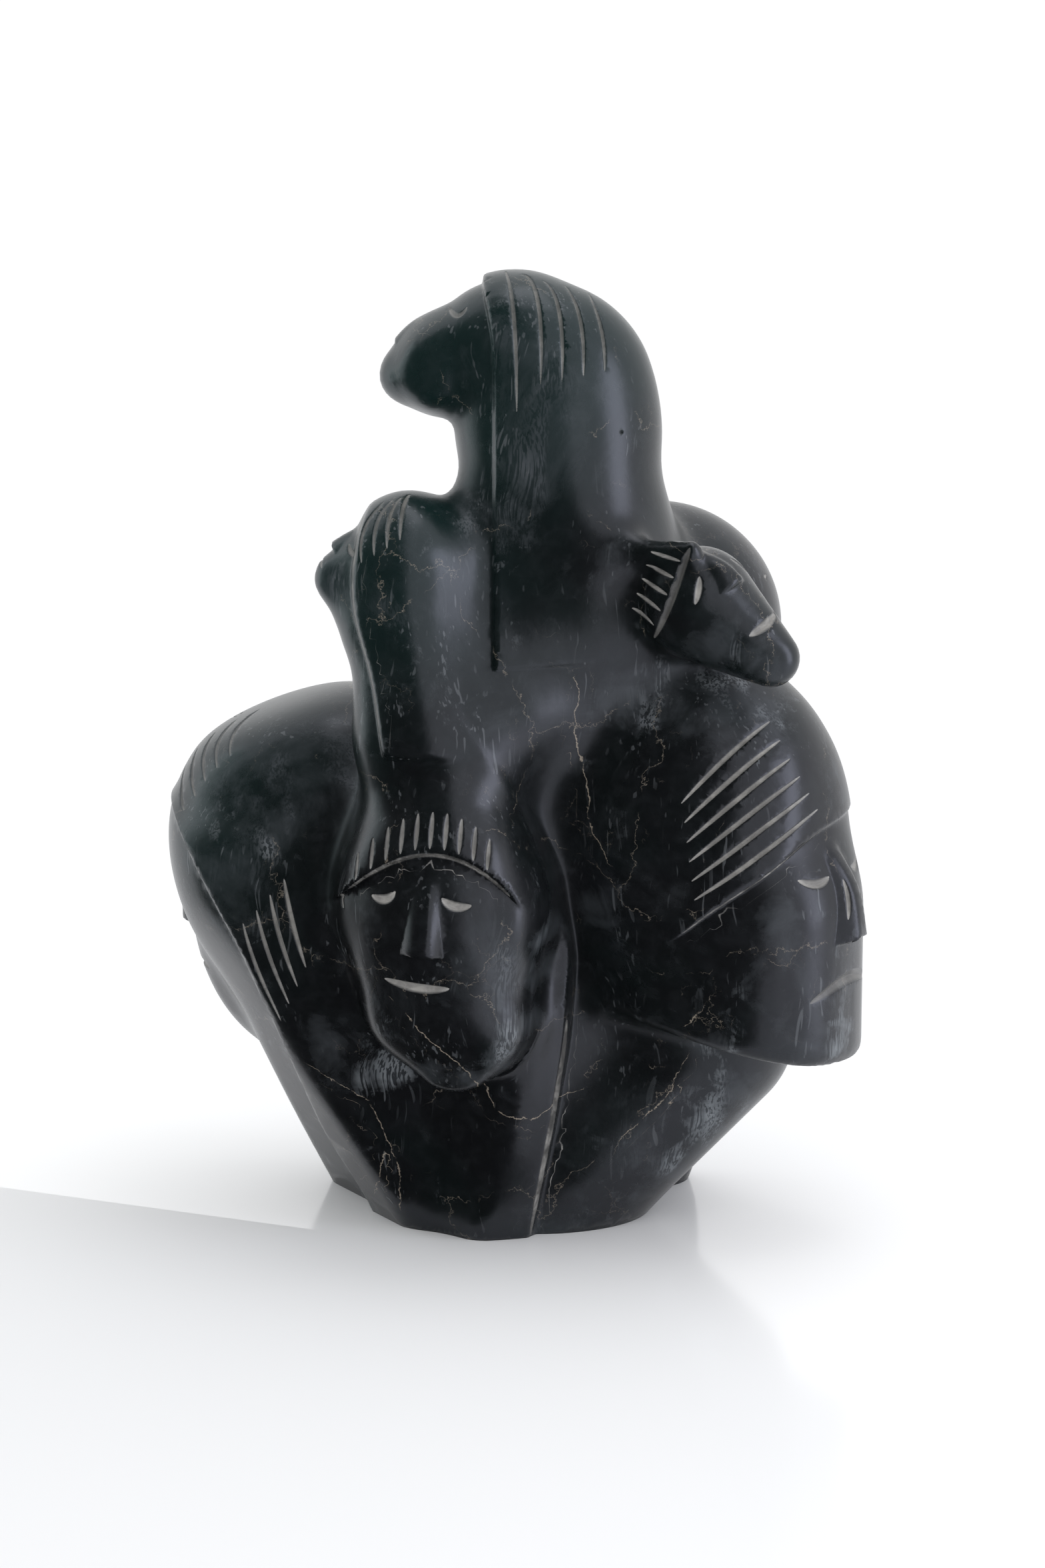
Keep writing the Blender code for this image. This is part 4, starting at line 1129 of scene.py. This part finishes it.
def stage_sheet(name, corners, colour, roughness):
    """A flat sheet of the studio, outside the part."""
    mesh = bpy.data.meshes.new(name)
    mesh.from_pydata(corners, [], [(0, 1, 2, 3)])
    sheet = bpy.data.objects.new(name, mesh)
    bpy.context.scene.collection.objects.link(sheet)
    material = bpy.data.materials.new(name)
    material.use_nodes = True
    shader = material.node_tree.nodes["Principled BSDF"]
    shader.inputs["Base Color"].default_value = colour
    shader.inputs["Roughness"].default_value = roughness
    mesh.materials.append(material)
    return sheet


def soft_light(name, place, size, power, colour):
    """A large soft light on the carving that isn't seen itself."""
    lamp = bpy.data.lights.new(name, "AREA")
    lamp.shape = "RECTANGLE"
    lamp.size, lamp.size_y = size
    lamp.energy = power
    lamp.color = colour
    light = bpy.data.objects.new(name, lamp)
    light.location = place
    light.rotation_euler = (Vector(LIT) - Vector(place)).to_track_quat("-Z", "Y").to_euler()
    light.visible_camera = False
    bpy.context.scene.collection.objects.link(light)


# Dark cloths that only the polish mirrors: behind the camera, to its left, and on the floor before it
CLOTHS = (
    ("back cloth", ((-3.4, -3.0, 0), (0.9, -3.0, 0), (0.9, -3.0, 4.3), (-3.4, -3.0, 4.3))),
    ("left cloth", ((-3.4, -3.0, 0), (-2.6, 1.1, 0), (-2.6, 1.1, 2.6), (-3.4, -3.0, 4.3))),
    ("high cloth", ((-3.4, -3.0, 4.3), (0.9, -3.0, 4.3), (0.7, 0.2, 3.4), (-2.6, 0.2, 3.0))),
    ("floor cloth",
     ((-3.4, -3.0, 0.001), (0.5, -3.0, 0.001), (0.05, -0.085, 0.001), (-3.4, 1.35, 0.001))),
)
CLOTH_COLOUR = (0.004, 0.004, 0.005, 1.0)
CLOTH_ROUGHNESS = 0.9

# The pale floor, in metres, and the white all round
FLOOR = ((-5, -5, 0), (5, -5, 0), (5, 5, 0), (-5, 5, 0))
FLOOR_COLOUR = (0.96, 0.965, 0.98, 1.0)
FLOOR_ROUGHNESS = 0.14
WORLD_STRENGTH = 1.05

# Soft lights: place, width and height, watts, colour. All look at one place.
LIGHTS = (
    ("right strip", (1.25, -0.45, 0.5), (0.5, 1.2), 6, (0.88, 0.90, 1.0)),
    ("left strip", (-1.3, 0.45, 0.55), (0.5, 1.4), 2, (0.85, 1.0, 0.97)),
    ("top light", (0.2, 0.1, 1.5), (0.8, 0.6), 2, (1.0, 1.0, 1.0)),
)
LIT = (0.0, 0.0, 0.24)


def studio():
    """White all round, a pale glossy floor, and the dark cloths in front."""
    world = bpy.data.worlds.new("white studio")
    world.use_nodes = True
    background = world.node_tree.nodes["Background"]
    background.inputs["Color"].default_value = (1.0, 1.0, 1.0, 1.0)
    background.inputs["Strength"].default_value = WORLD_STRENGTH
    bpy.context.scene.world = world
    stage_sheet("pale floor", FLOOR, FLOOR_COLOUR, FLOOR_ROUGHNESS)
    for name, corners in CLOTHS:
        cloth = stage_sheet(name, corners, CLOTH_COLOUR, CLOTH_ROUGHNESS)
        cloth.visible_camera = False
        cloth.visible_diffuse = False
        cloth.visible_shadow = False
    for light in LIGHTS:
        soft_light(*light)
    bpy.context.scene.view_settings.view_transform = "Standard"


def photo_camera(unit, shift):
    """The photograph's view: a long lens, level across and a little above."""
    lens = bpy.data.cameras.new("photo camera")
    lens.sensor_fit = "VERTICAL"
    lens.sensor_height = SENSOR_HEIGHT
    lens.lens = LENS
    raised = np.radians(CAMERA_RAISED)
    ahead = Vector((0.0, np.cos(raised), -np.sin(raised)))
    target = Vector(CAMERA_TARGET) * unit + shift
    camera = bpy.data.objects.new("photo camera", lens)
    camera.location = target - ahead * CAMERA_DISTANCE * unit
    camera.rotation_euler = ahead.to_track_quat("-Z", "Y").to_euler()
    lens.clip_end = FARTHEST_SEEN
    bpy.context.scene.collection.objects.link(camera)
    bpy.context.scene.camera = camera


def main():
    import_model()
    stone, unit, shift = finished_stone(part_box("stone_carving"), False)
    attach(stone, "root")
    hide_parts("stone_carving")
    studio()
    photo_camera(unit, shift)


main()
